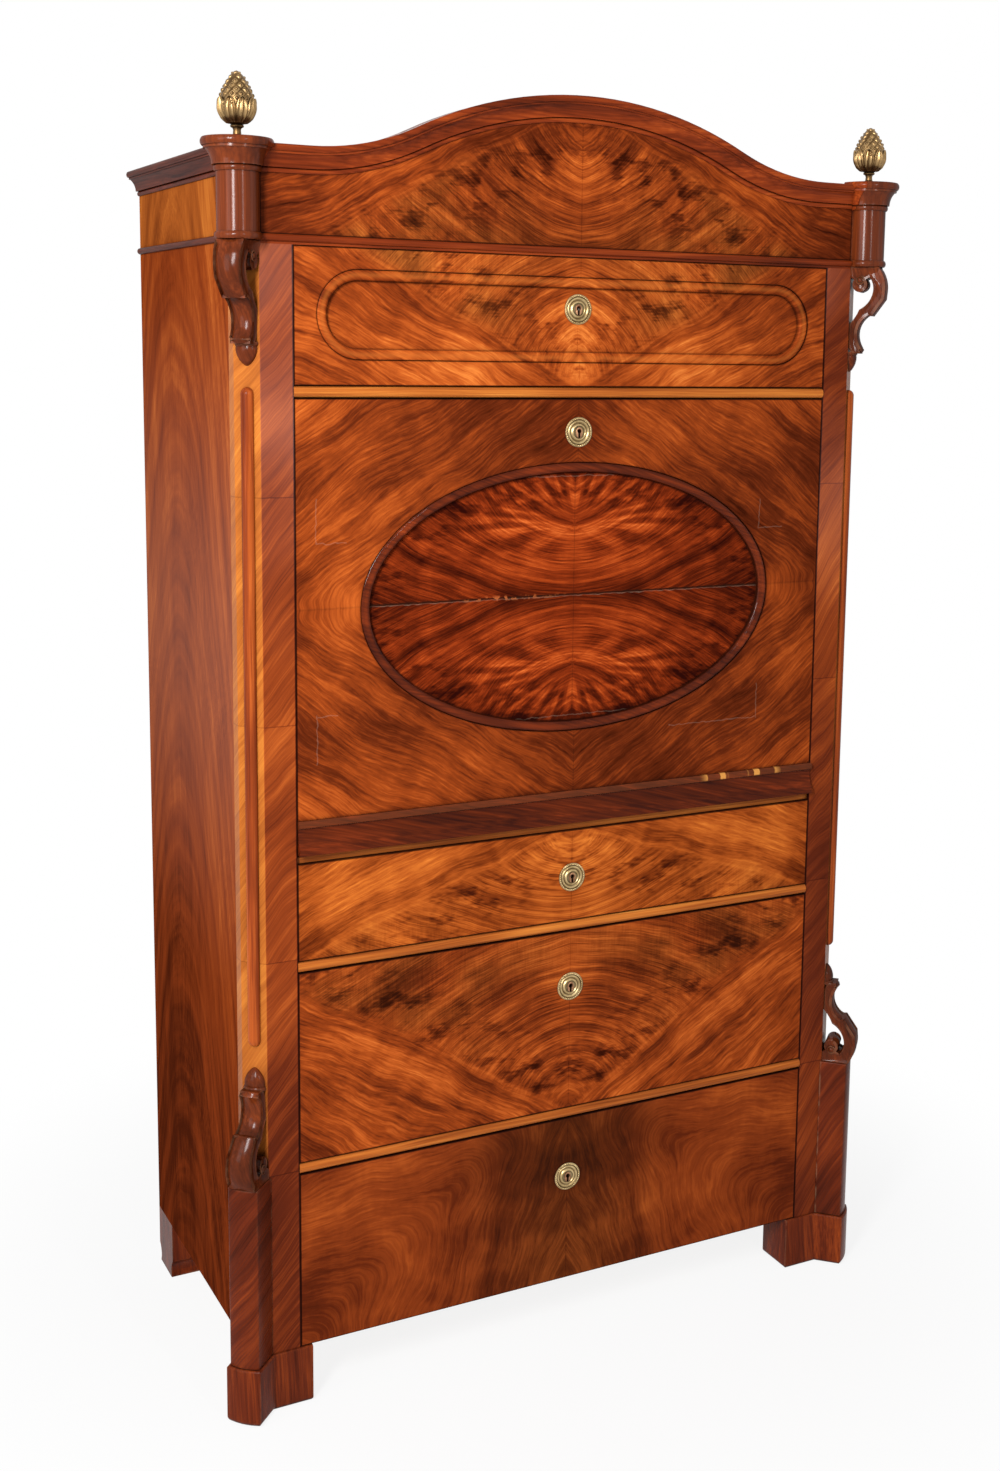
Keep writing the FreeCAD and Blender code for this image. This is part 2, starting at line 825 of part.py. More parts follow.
SCROLL = [
    (0.0, 0.0),
    (0.80, 0.0),
    (1.0, 0.27),
    (0.98, 0.37),
    (0.65, 0.565),
    (0.54, 0.56),
    (0.25, 0.765),
    (0.42, 0.955),
    (0.35, 1.0),
    (0.12, 1.0),
    (0.0, 0.90),
    (0.0, 0.66),
    (0.27, 0.49),
    (0.65, 0.26),
    (0.55, 0.125),
    (0.45, 0.147),
    (0.275, 0.29),
    (0.10, 0.147),
    (0.0, 0.12),
]
SCROLL_ARCS = {
    1: (1.371, -1),
    5: (1.02, 1),
    6: (1.354, 1),
    9: (1.157, -1),
    11: (2.383, 1),
    12: (0.986, 1),
    13: (1.486, 1),
    15: (0.557, -1),
    16: (0.557, -1),
}


def console(label, side, start, direction):
    """One scroll and its drop; direction -1 hangs below start, 1 stands on it."""
    corners = [
        (f"-console_reach * {out}", f"({start}) + {direction} * console_drop * {down}")
        for out, down in SCROLL
    ]
    arcs = mirror_bends(SCROLL_ARCS, direction)
    half = "console_top_width / 2"
    scroll = extrude(f"{label}_scroll", "YZ_Plane", corners, f"-{half}", half, arcs, **at_corner(side))
    low_half = "console_low_width / 2"
    end = f"({start}) + {direction} * console_drop"
    taper = extrude(
        f"{label}_taper",
        "XZ_Plane",
        [(f"-{half}", start), (half, start), (low_half, end), (f"-{low_half}", end)],
        "-1.2 * console_reach",
        "1",
        **at_corner(side),
    )
    bud = doc.addObject("Part::Ellipsoid", f"{label}_bud")
    bud.Placement.Rotation = FreeCAD.Rotation(Z_AXIS, 45 * side + 180)
    bud.Angle3 = 180
    bud.setExpression("Radius1", bound("bud_length / 2"))
    bud.setExpression("Radius2", bound("bud_width / 2"))
    bud.setExpression("Radius3", bound("bud_reach"))
    bud.setExpression("Placement.Base.x", bound(f"{side} * corner_x"))
    bud.setExpression("Placement.Base.y", bound("front_y + corner_y"))
    bud.setExpression("Placement.Base.z", bound(f"{end} + {direction} * bud_length / 2"))
    return common(label, scroll, taper), bud


uppers, lowers = [], []
for side, name in SIDES:
    uppers.extend(console(f"{name}_upper_console", side, "bead_low", -1))
    lowers.extend(console(f"{name}_lower_console", side, "pedestal_top", 1))
node("upper_consoles", *uppers)
node("lower_consoles", *lowers)

rods, pedestals, front_feet, rear_feet = [], [], [], []
for side, name in SIDES:
    rods.append(
        turn(
            f"{name}_rod",
            [
                ("0", "rod_low"),
                ("rod_radius", "rod_low + rod_radius"),
                ("rod_radius", "rod_high - rod_radius"),
                ("0", "rod_high"),
            ],
            {0: ("rod_radius", 1), 2: ("rod_radius", 1)},
            sweep_angle=180,
            **at_corner(side, facing=-90),
        )
    )

    flare = "pedestal_half - cant_half"
    bow = "(pedestal_half ^ 2 + pedestal_bow ^ 2) / (2 * pedestal_bow)"
    pedestal_corners = [
        ("-pedestal_half", "pedestal_bow - pedestal_reach"),
        ("pedestal_half", "pedestal_bow - pedestal_reach"),
        ("pedestal_half", flare),
        ("cant_half", "0"),
        ("-cant_half", "0"),
        ("-pedestal_half", flare),
    ]
    pedestals.append(
        extrude(
            f"{name}_pedestal",
            "XY_Plane",
            pedestal_corners,
            "foot_height",
            "pedestal_top",
            {0: (bow, 1)},
            **at_corner(side),
        )
    )

    toe_half = "(pedestal_half + foot_lap)"
    toe_bow = f"({toe_half} ^ 2 + pedestal_bow ^ 2) / (2 * pedestal_bow)"
    toe_line = "pedestal_bow - pedestal_reach - foot_lap"
    toe_corners = [
        (f"-{toe_half}", toe_line),
        (toe_half, toe_line),
        (toe_half, "cant_leg"),
        (f"-{toe_half}", "cant_leg"),
    ]
    toe = extrude(
        f"{name}_toe",
        "XY_Plane",
        toe_corners,
        "0",
        "foot_height",
        {0: (toe_bow, 1)},
        **at_corner(side),
    )
    toe = soften(toe, "foot_round", lambda edge: edge.BoundBox.ZMax < SKIN and edge.CenterOfMass.y < 0)
    lip_level = measure("foot_height") - SKIN
    toe = soften(toe, "foot_lip", lambda edge: edge.BoundBox.ZMin > lip_level and edge.CenterOfMass.y < 0)
    heel = board(
        f"{name}_heel",
        flank(side, "foot_inner", "corner_x"),
        ("-foot_lap", "foot_depth"),
        ("0", "foot_height"),
    )
    rounded_heel = doc.addObject("Part::Fillet", f"{name}_heel_round")
    rounded_heel.Base = heel
    doc.recompute()
    inner_edge = measure(f"{side} * foot_inner")
    front_edge = measure("front_y - foot_lap")
    heel_round, foot_lip = measure("heel_round"), measure("foot_lip")
    picked = []
    for number, edge in enumerate(heel.Shape.Edges, start=1):
        box = edge.BoundBox
        at_front = box.YMax < front_edge + SKIN
        at_inner = max(abs(box.XMax - inner_edge), abs(box.XMin - inner_edge)) < SKIN
        if box.ZMax < SKIN and (at_front or at_inner):
            picked.append((number, heel_round, heel_round))
        elif box.ZMin > lip_level and at_front:
            picked.append((number, foot_lip, foot_lip))
    rounded_heel.Edges = picked
    front_feet.append(fuse(f"{name}_front_foot", toe, rounded_heel))

    rear_corners = [
        ("body_depth - rear_foot", "side_bottom"),
        ("body_depth", "side_bottom"),
        ("body_depth", "side_bottom * 0.32"),
        ("body_depth - rear_foot * 0.125", "side_bottom * 0.1"),
        ("body_depth - rear_foot * 0.083", "0"),
        ("body_depth - rear_foot * 0.917", "0"),
        ("body_depth - rear_foot * 0.875", "side_bottom * 0.1"),
        ("body_depth - rear_foot", "side_bottom * 0.32"),
    ]
    rear_feet.append(
        extrude(
            f"{name}_rear_foot",
            "YZ_Plane",
            rear_corners,
            *flank(side, "half_body - rear_foot", "half_body"),
            arcs={2: (1.24, 1), 6: (1.24, 1)},
        )
    )
node("corner_rods", *rods)
node("pedestals", *pedestals)
node("front_feet", *front_feet)
node("rear_feet", *rear_feet)

# Stage of the writing compartment

uprights = [
    board(
        f"{name}_upright",
        flank(side, "niche_half", "niche_half + stage_wall"),
        ("stage_front", "back_face"),
        ("bed_top", "stage_shelf_low"),
    )
    for side, name in SIDES
]
for place in (-3, -1, 1, 3):
    middle = f"{place} * pigeon_half"
    uprights.append(
        board(
            "pigeon_divider",
            (f"{middle} - pigeon_wall / 2", f"{middle} + pigeon_wall / 2"),
            ("stage_front + pigeon_setback", "back_face"),
            ("stage_shelf_low + stage_wall", "top_rail_low"),
        )
    )
node("stage_uprights", *uprights)
stage_shelves = [
    board(
        "stage_shelf",
        span("half_open"),
        ("stage_front", "back_face"),
        ("stage_shelf_low", "stage_shelf_low + stage_wall"),
    )
]
for side, name in SIDES:
    stage_shelves.append(
        board(
            f"{name}_bay_shelf",
            flank(side, "niche_half + stage_wall", "half_open"),
            ("stage_front", "back_face"),
            ("bay_shelf_low", "bay_shelf_low + bay_shelf_thick"),
        )
    )
node("stage_shelves", *stage_shelves)


def drawer_box(label, left, right, front, back, low, high, wall, floor):
    """Two sides, a back and a bottom, as separate boards behind a drawer front."""
    inside = (f"({left}) + {wall}", f"({right}) - {wall}")
    floor_low = f"({low}) + box_groove"
    floor_top = f"{floor_low} + {floor}"
    return [
        board(f"{label}_left", (left, inside[0]), (front, back), (low, high)),
        board(f"{label}_right", (inside[1], right), (front, back), (low, high)),
        board(f"{label}_back", inside, (f"({back}) - {wall}", back), (floor_top, f"({high}) - box_back_drop")),
        board(f"{label}_floor", inside, (front, back), (floor_low, floor_top)),
    ]


SMALL_LEVELS = {
    "lower": ("bed_top + slide_gap", "bay_shelf_low - joint_gap"),
    "upper": ("bay_shelf_low + bay_shelf_thick + slide_gap", "stage_shelf_low - joint_gap"),
}
for side, name in SIDES:
    for level, (low, high) in SMALL_LEVELS.items():
        label = f"{name}_{level}_small_drawer"
        left, right = flank(side, "niche_half + stage_wall + small_side_gap", "half_open - small_side_gap")
        back_of_front = "stage_front + small_front"
        face = board(f"{label}_face", (left, right), ("stage_front", back_of_front), (low, high))
        box = drawer_box(
            label, left, right, back_of_front, "small_back",
            low, f"({high}) - small_drop", "small_wall", "small_floor",
        )
        knob = turn(
            f"{label}_knob",
            [
                ("0", "0"),
                ("knob_radius * 0.7", "0"),
                ("knob_radius * 0.45", "knob_length * 0.3"),
                ("knob_radius", "knob_length * 0.7"),
                ("knob_radius * 0.3", "knob_length"),
                ("0", "knob_length"),
            ],
            {1: (1.54, -1), 3: (1.3, 1)},
            x=f"(({left}) + ({right})) / 2",
            y="stage_front",
            z=f"(({low}) + ({high})) / 2",
            turn=90,
            axis=X_AXIS,
        )
        node(label, face, *box, knob)


# Locks: a case let into the back of a front, its bolt, and the keyhole through the front

KEYHOLE = [
    ("-keyhole_half_slot", "-keyhole_radius * 0.89"),
    ("-keyhole_half_slot", "-keyhole_tail"),
    ("keyhole_half_slot", "-keyhole_tail"),
    ("keyhole_half_slot", "-keyhole_radius * 0.89"),
    ("0", "keyhole_radius"),
]
KEYHOLE_ARCS = {3: ("keyhole_radius", 1), 4: ("keyhole_radius", 1)}


def lock(name, thick, key, top):
    """The lock, its bolt and the tools that let it into the front."""
    inside = f"({thick}) - lock_depth"
    depth = (inside, thick)
    case_low = f"{key} - lock_below"
    case = fuse(
        f"{name}_case",
        board(f"{name}_chest", span("lock_half"), depth, (case_low, top)),
        board(f"{name}_selvedge", span("selvedge_half"), depth, (f"({top}) - selvedge_thick", top)),
    )
    pockets = [
        board(f"{name}_pocket", span("lock_half"), depth, (case_low, top)),
        board(f"{name}_rebate", span("selvedge_half"), depth, (f"({top}) - selvedge_thick", top)),
        extrude(f"{name}_keyhole", "XZ_Plane", KEYHOLE, "-1", inside, KEYHOLE_ARCS, z=key),
    ]
    middle = f"({thick}) - lock_depth / 2"
    half = "bolt_thick / 2"
    bolt_low = f"{key} + bolt_rise"
    bolt = board(
        f"{name}_tongue",
        span("bolt_half"),
        (f"{middle} - {half}", f"{middle} + {half}"),
        (bolt_low, f"({top}) - bolt_shy"),
    )
    way = board(
        f"{name}_way",
        span("bolt_half + bolt_gap"),
        (f"{middle} - {half} - bolt_gap", f"{middle} + {half} + bolt_gap"),
        (f"{bolt_low} - bolt_gap", f"({top}) + 1"),
    )
    post = doc.addObject("Part::Cylinder", f"{name}_key_post")
    post.Placement.Rotation = FreeCAD.Rotation(X_AXIS, 90)
    post.setExpression("Radius", bound("keyhole_radius * 0.4"))
    post.setExpression("Height", bound(f"{inside} - key_post_shy"))
    post.setExpression("Placement.Base.y", bound(f"front_y + {inside}"))
    post.setExpression("Placement.Base.z", bound(key))
    node(f"{name}_lock", cut(f"{name}_cased", case, way), post)
    node(f"{name}_bolt", bolt)
    return pockets


def escutcheon(name, face, key):
    """A round plate with a raised rim and rings, pierced with the keyhole."""
    plate = turn(
        f"{name}_plate",
        [
            ("0", "0"),
            ("plate_radius", "0"),
            ("plate_radius", "plate_thick * 0.3"),
            ("plate_radius * 0.8", "plate_thick * 0.3"),
            ("plate_radius * 0.64", "plate_thick * 0.45"),
            ("plate_radius * 0.48", "plate_thick * 0.8"),
            ("plate_radius * 0.36", "plate_thick"),
            ("0", "plate_thick"),
        ],
        {2: (0.55, 1), 3: (1.85, -1)},
        y=face,
        z=key,
        turn=90,
        axis=X_AXIS,
    )
    hole = extrude(
        f"{name}_eye", "XY_Plane", KEYHOLE, "-1", "plate_thick + 1", KEYHOLE_ARCS,
        y=face, z=key, turn=90, axis=X_AXIS,
    )
    node(f"{name}_escutcheon", cut(f"{name}_pierced", plate, hole))


# Lower drawers, flush between the rails

LOWER_DRAWERS = {
    "upper_drawer": ("upper_seat + joint_gap / 2", "slip_low - joint_gap", "upper_seat", "upper_key"),
    "middle_drawer": ("middle_seat + joint_gap / 2", "rail_2_low - joint_gap", "middle_seat", "middle_key"),
    "bottom_drawer": ("foot_height + joint_gap", "rail_3_low - joint_gap", "bottom_seat", "bottom_key"),
}
for name, (low, high, seat, key) in LOWER_DRAWERS.items():
    blank = board(f"{name}_blank", span("front_half"), ("0", "front_thick"), (low, high))
    pockets = lock(name, "front_thick", key, high)
    node(f"{name}_front", cut(f"{name}_face", blank, *pockets))
    escutcheon(name, "0", key)
    box = drawer_box(
        name, "-box_half", "box_half", "front_thick", "box_back",
        f"{seat} + slide_gap", f"({high}) - box_drop", "box_wall", "box_floor",
    )
    node(f"{name}_box", *box)


# Top drawer: a sunk field with rounded ends inside a raised moulding

def stadium(half_width, half_height, height):
    """Corners and arcs of a field with half-round ends."""
    straight = f"({half_width}) - ({half_height})"
    low, high = f"{height} - ({half_height})", f"{height} + ({half_height})"
    corners = [
        (f"-({straight})", low),
        (straight, low),
        (half_width, height),
        (straight, high),
        (f"-({straight})", high),
        (f"-({half_width})", height),
    ]
    arcs = {number: (half_height, 1) for number in (1, 2, 4, 5)}
    return corners, arcs


def sink(body, sketch, depth):
    """A pocket of the given depth, cut back from the face of the front."""
    pocket = add_pad(body, sketch, depth, "Pocket")
    doc.recompute()
    if abs(pocket.Shape.Volume - pocket.BaseFeature.Shape.Volume) < 1:
        pocket.Reversed = True
    return body


def on_front_rim(edge):
    """True for the edges of a moulding's outer face, which stands forward of its seat."""
    return edge.BoundBox.YMax < SKIN


TOP_LOW, TOP_HIGH = "top_seat + joint_gap / 2", "frieze_shelf_low - joint_gap"
top_blank = extrude(
    "top_drawer_blank",
    "XZ_Plane",
    [
        ("-front_half", TOP_LOW),
        ("front_half", TOP_LOW),
        ("front_half", TOP_HIGH),
        ("-front_half", TOP_HIGH),
    ],
    "0",
    "front_thick",
)
corners, arcs = stadium("stadium_half_width", "stadium_half_height", "stadium_height")
sink(top_blank, draw_outline(new_sketch(top_blank, "XZ_Plane"), corners, arcs), "recess_depth")
top_pockets = lock("top_drawer", "front_thick", "top_key", TOP_HIGH)
node("top_drawer_front", cut("top_drawer_face", top_blank, *top_pockets))
stadium_ring = extrude("stadium_ring", "XZ_Plane", corners, "0", "recess_depth", arcs)
inner_corners, inner_arcs = stadium(
    "stadium_half_width - ring_width", "stadium_half_height - ring_width", "stadium_height"
)
stadium_hollow = draw_outline(new_sketch(stadium_ring, "XZ_Plane"), inner_corners, inner_arcs)
sink(stadium_ring, stadium_hollow, "recess_depth")
node("top_drawer_moulding", soften(stadium_ring, "ring_round", on_front_rim))
escutcheon("top_drawer", "recess_depth", "top_key")
node(
    "top_drawer_box",
    *drawer_box(
        "top_drawer", "-box_half", "box_half", "front_thick", "box_back",
        "top_seat + slide_gap", f"({TOP_HIGH}) - box_drop", "box_wall", "box_floor",
    ),
)

# Fall: a panel with a sunk oval, hung on pins above its heel

fall_blank = extrude(
    "fall_blank",
    "XZ_Plane",
    [
        ("-fall_half", "fall_bottom"),
        ("fall_half", "fall_bottom"),
        ("fall_half", "fall_top"),
        ("-fall_half", "fall_top"),
    ],
    "0",
    "fall_thick",
)
oval_field = new_sketch(fall_blank, "XZ_Plane")
draw_ellipse(oval_field, "oval_half_width", "oval_half_height", "oval_height")
sink(fall_blank, oval_field, "recess_depth")
leather_bed = board(
    "leather_bed",
    span("leather_half_width"),
    ("fall_thick - leather_thick", "fall_thick"),
    ("leather_low", "leather_high"),
)
pin_holes = []
for side, name in SIDES:
    hole = doc.addObject("Part::Cylinder", f"{name}_pin_hole")
    hole.Placement.Rotation = FreeCAD.Rotation(FreeCAD.Vector(0, 1, 0), -90 * side)
    hole.setExpression("Radius", bound("pivot_radius + running_gap"))
    hole.setExpression("Height", bound("pivot_reach + 1"))
    hole.setExpression("Placement.Base.x", bound(f"{side} * half_open"))
    hole.setExpression("Placement.Base.y", bound("front_y + pivot_depth"))
    hole.setExpression("Placement.Base.z", bound("pivot_height"))
    pin_holes.append(hole)
fall_tools = lock("fall", "fall_thick", "fall_key", "fall_top")
node("fall_panel", cut("fall_face", fall_blank, leather_bed, *pin_holes, *fall_tools))
node(
    "writing_leather",
    board(
        "leather",
        span("leather_half_width"),
        ("fall_thick - leather_thick", "fall_thick"),
        ("leather_low", "leather_high"),
    ),
)
oval_ring = new_body("oval_ring")
ring_sketch = new_sketch(oval_ring, "XZ_Plane", "-recess_depth")
draw_ellipse(ring_sketch, "oval_half_width", "oval_half_height", "oval_height")
add_pad(oval_ring, ring_sketch, "recess_depth")
hollow = new_sketch(oval_ring, "XZ_Plane")
draw_ellipse(hollow, "oval_half_width - ring_width", "oval_half_height - ring_width", "oval_height")
sink(oval_ring, hollow, "recess_depth")
node("fall_oval_moulding", soften(oval_ring, "ring_round", on_front_rim))
node(
    "fall_base_moulding",
    extrude(
        "base_moulding",
        "YZ_Plane",
        [
            ("0", "fall_bottom"),
            ("0", "moulding_top"),
            ("-moulding_reach * 0.5", "moulding_top"),
            ("-moulding_reach * 0.8", "moulding_top - moulding_height * 0.07"),
            ("-moulding_reach * 0.8", "moulding_top - moulding_height * 0.18"),
            ("-moulding_reach * 0.3", "moulding_top - moulding_height * 0.24"),
            ("-moulding_reach", "fall_bottom + moulding_height * 0.18"),
            ("-moulding_reach", "fall_bottom"),
        ],
        "-fall_half",
        "fall_half",
        {5: (1.27, -1)},
    ),
)
escutcheon("fall", "0", "fall_key")

# Pediment drawer: arched front, arched cornice and box

PEDIMENT_LOW = "pediment_seat + slide_gap"
ARCH = [
    ("-pediment_half", "cornice_top"),
    ("-arch_half_span", "cornice_top"),
    ("-arch_shoulder", "arch_turn"),
    ("arch_shoulder", "arch_turn"),
    ("arch_half_span", "cornice_top"),
    ("pediment_half", "cornice_top"),
]
ARCH_ARCS = {1: ("arch_foot_radius", 1), 2: ("arch_crown_radius", -1), 3: ("arch_foot_radius", 1)}
node(
    "pediment_front",
    extrude(
        "pediment_board",
        "XZ_Plane",
        ARCH + [("pediment_half", PEDIMENT_LOW), ("-pediment_half", PEDIMENT_LOW)],
        "0",
        "pediment_thick",
        ARCH_ARCS,
    ),
)
arch_cornice = new_body("arch_cornice")
path = draw_outline(new_sketch(arch_cornice, "XZ_Plane"), ARCH, ARCH_ARCS, closed=False)
corners, arcs = cornice_profile(lambda rule: f"-({rule})", "0", "cornice_top", "cornice_height")
section = new_sketch(arch_cornice, "YZ_Plane", "-pediment_half")
draw_outline(section, corners, mirror_bends(arcs, LEFT))
sweep = arch_cornice.newObject("PartDesign::AdditivePipe", "Sweep")
sweep.Profile = section
sweep.Spine = (path, [f"Edge{number}" for number in range(1, len(ARCH))])
sweep.Transition = "Right corner"
returns = []
for side, name in SIDES:
    capital = turned_corner(f"{name}_return_turning", side, "capital")
    keep = board(
        f"{name}_return_keep",
        flank(side, "seam_x - 2 * capital_radius", "pediment_half"),
        ("-2 * capital_radius", "0"),
        ("0", "2 * cornice_top"),
    )
    returns.append(common(f"{name}_return", capital, keep))
node("pediment_cornice", fuse("arched_cornice", arch_cornice, *returns))
node(
    "pediment_box",
    *drawer_box(
        "pediment", "-pediment_box_half", "pediment_box_half", "pediment_thick", "box_back",
        PEDIMENT_LOW, "roof_low - small_drop", "box_wall", "box_floor",
    ),
)

# Check every object, then write one file per node

doc.recompute()
for item in doc.Objects:
    if "Invalid" in item.State or "Error" in item.State:
        raise RuntimeError(f"{item.Label} is {item.State}")
os.makedirs("parts", exist_ok=True)
for name, item in nodes.items():
    shape = item.Shape
    if shape.isNull() or not shape.isValid() or not shape.Solids:
        raise RuntimeError(f"{name} has no valid solid")
    shape.exportStep(f"parts/{name}.step")
    box = shape.BoundBox
    print(
        f"{name}: {len(shape.Solids)} solids, {shape.Volume / 1000:.1f} cm3, "
        f"x {box.XMin:.1f} {box.XMax:.1f}  y {box.YMin:.1f} {box.YMax:.1f}  z {box.ZMin:.1f} {box.ZMax:.1f}"
    )
print(len(nodes), "nodes")
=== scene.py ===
import logging
import math
from contextlib import contextmanager
from dataclasses import dataclass, replace
from enum import Enum
from functools import partial, reduce
from typing import Any, Callable, Iterable, Iterator, NamedTuple, Optional, Sequence, Union

import bpy
from bpy.types import Material, Node, NodeSocket, NodeTree, Object
from mathutils import Matrix, Vector


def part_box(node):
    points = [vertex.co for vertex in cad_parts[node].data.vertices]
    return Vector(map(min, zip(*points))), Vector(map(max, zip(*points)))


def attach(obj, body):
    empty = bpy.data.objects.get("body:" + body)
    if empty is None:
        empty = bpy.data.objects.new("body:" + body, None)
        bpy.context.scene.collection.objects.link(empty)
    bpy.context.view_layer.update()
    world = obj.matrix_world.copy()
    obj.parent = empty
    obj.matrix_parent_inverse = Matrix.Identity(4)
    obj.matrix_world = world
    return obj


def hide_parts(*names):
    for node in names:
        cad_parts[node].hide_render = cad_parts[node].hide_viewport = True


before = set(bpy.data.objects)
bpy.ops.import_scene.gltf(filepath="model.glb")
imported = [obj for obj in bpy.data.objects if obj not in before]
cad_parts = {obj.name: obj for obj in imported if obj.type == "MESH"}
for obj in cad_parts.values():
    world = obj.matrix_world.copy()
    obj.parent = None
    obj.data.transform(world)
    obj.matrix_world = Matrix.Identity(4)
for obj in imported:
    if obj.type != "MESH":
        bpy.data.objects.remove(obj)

LOG = logging.getLogger("secretary")
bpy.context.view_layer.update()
FACE_Y = -0.209
HALF_OPEN = 0.400
MATCH_Z = 1.077
GRAIN_DEPTH = 0.0003
ORIGIN = (0.0, 0.0, 0.0)
SEAM = 0.0011
LOCKED = ("top_drawer", "fall", "upper_drawer", "middle_drawer", "bottom_drawer")
SMALL_DRAWERS = tuple(
    f"{side}_{level}_small_drawer" for side in ("left", "right") for level in ("lower", "upper")
)
MIX_FIRST, MIX_SECOND, MIX_RESULT = 6, 7, 2

Colour = tuple[float, float, float]
Profile = Sequence[tuple[float, float]]
Number = Union[float, "Value"]
Paint = Union[Colour, NodeSocket, "Swatch"]


class Swatch(Enum):
    """Flat colours of dirt, wear, joints and inlay, and of painted shade, sheen and highlights."""

    JOINT_GRIME_AND_SHADE = (0.010, 0.003, 0.002)
    RUBBED = (0.52, 0.30, 0.17)
    SIDE_SHEEN = (0.62, 0.56, 0.52)
    STILE_SHEEN = (0.44, 0.33, 0.33)
    MIDDLE_BOARD = (0.34, 0.17, 0.065)
    KNOT = (0.11, 0.042, 0.016)
    BOARD_JOINT = (0.030, 0.014, 0.007)
    PIN = (0.25, 0.105, 0.036)
    GAUGE = (0.060, 0.026, 0.010)
    STRINGING = (0.050, 0.018, 0.008)
    TOP_EDGE_HIGHLIGHT = (0.36, 0.12, 0.045)
    CHIP = (0.62, 0.27, 0.06)
    RING_HIGHLIGHT = (0.50, 0.14, 0.026)
    SPLIT = (0.020, 0.006, 0.003)
    SPLIT_HIGHLIGHT = (0.50, 0.34, 0.24)
    SPLIT_CHIP = (0.44, 0.11, 0.03)
    HAIRLINE = (0.60, 0.42, 0.30)
    TARNISH = (0.020, 0.010, 0.005)
    GILT = (0.42, 0.27, 0.075)


class Tone(Enum):
    """Colour ramps of the woods and the leather, from dark figure to bright figure."""

    FLAME = ((0.0, (0.029, 0.004, 0.001)), (0.30, (0.116, 0.018, 0.004)), (0.52, (0.262, 0.044, 0.007)),
             (0.74, (0.456, 0.092, 0.014)), (1.0, (0.698, 0.200, 0.036)))
    OVAL = ((0.0, (0.020, 0.002, 0.001)), (0.30, (0.078, 0.009, 0.002)), (0.54, (0.193, 0.023, 0.004)),
            (0.76, (0.368, 0.053, 0.008)), (1.0, (0.607, 0.124, 0.023)))
    OLIVE = ((0.0, (0.016, 0.005, 0.002)), (0.30, (0.070, 0.019, 0.004)), (0.54, (0.165, 0.046, 0.009)),
             (0.76, (0.310, 0.094, 0.016)), (1.0, (0.500, 0.180, 0.034)))
    GOLDEN = ((0.0, (0.048, 0.007, 0.002)), (0.28, (0.180, 0.031, 0.005)), (0.52, (0.380, 0.078, 0.011)),
              (0.76, (0.570, 0.144, 0.020)), (1.0, (0.760, 0.252, 0.044)))
    BROWN = ((0.0, (0.029, 0.005, 0.002)), (0.30, (0.106, 0.016, 0.004)), (0.54, (0.216, 0.037, 0.007)),
             (0.78, (0.368, 0.074, 0.012)), (1.0, (0.552, 0.143, 0.028)))
    STILE = ((0.0, (0.030, 0.005, 0.002)), (0.32, (0.110, 0.017, 0.005)), (0.56, (0.230, 0.040, 0.008)),
             (0.80, (0.390, 0.082, 0.014)), (1.0, (0.560, 0.155, 0.032)))
    SIDE = ((0.0, (0.060, 0.010, 0.003)), (0.35, (0.170, 0.028, 0.006)), (0.60, (0.240, 0.044, 0.008)),
            (0.82, (0.330, 0.072, 0.013)), (1.0, (0.430, 0.112, 0.022)))
    DARK = ((0.0, (0.025, 0.004, 0.002)), (0.35, (0.088, 0.013, 0.003)), (0.60, (0.175, 0.025, 0.005)),
            (0.82, (0.288, 0.047, 0.008)), (1.0, (0.450, 0.095, 0.015)))
    CARVED = ((0.0, (0.024, 0.005, 0.001)), (0.35, (0.088, 0.016, 0.004)), (0.60, (0.180, 0.034, 0.007)),
              (0.82, (0.285, 0.067, 0.011)), (1.0, (0.430, 0.120, 0.024)))
    HONEY = ((0.0, (0.180, 0.045, 0.008)), (0.35, (0.360, 0.100, 0.016)), (0.60, (0.500, 0.165, 0.026)),
             (0.82, (0.610, 0.230, 0.040)), (1.0, (0.720, 0.330, 0.070)))
    NOSING = ((0.0, (0.120, 0.026, 0.005)), (0.35, (0.290, 0.068, 0.011)), (0.60, (0.430, 0.115, 0.018)),
              (0.82, (0.550, 0.175, 0.028)), (1.0, (0.680, 0.260, 0.050)))
    PINE = ((0.0, (0.250, 0.130, 0.050)), (0.40, (0.380, 0.215, 0.090)), (0.70, (0.480, 0.290, 0.130)),
            (1.0, (0.580, 0.380, 0.190)))
    MAPLE = ((0.0, (0.300, 0.120, 0.035)), (0.40, (0.430, 0.200, 0.062)), (0.70, (0.530, 0.280, 0.095)),
             (1.0, (0.640, 0.380, 0.150)))
    LEATHER = ((0.15, (0.012, 0.030, 0.016)), (0.50, (0.026, 0.062, 0.032)), (0.85, (0.060, 0.110, 0.055)))


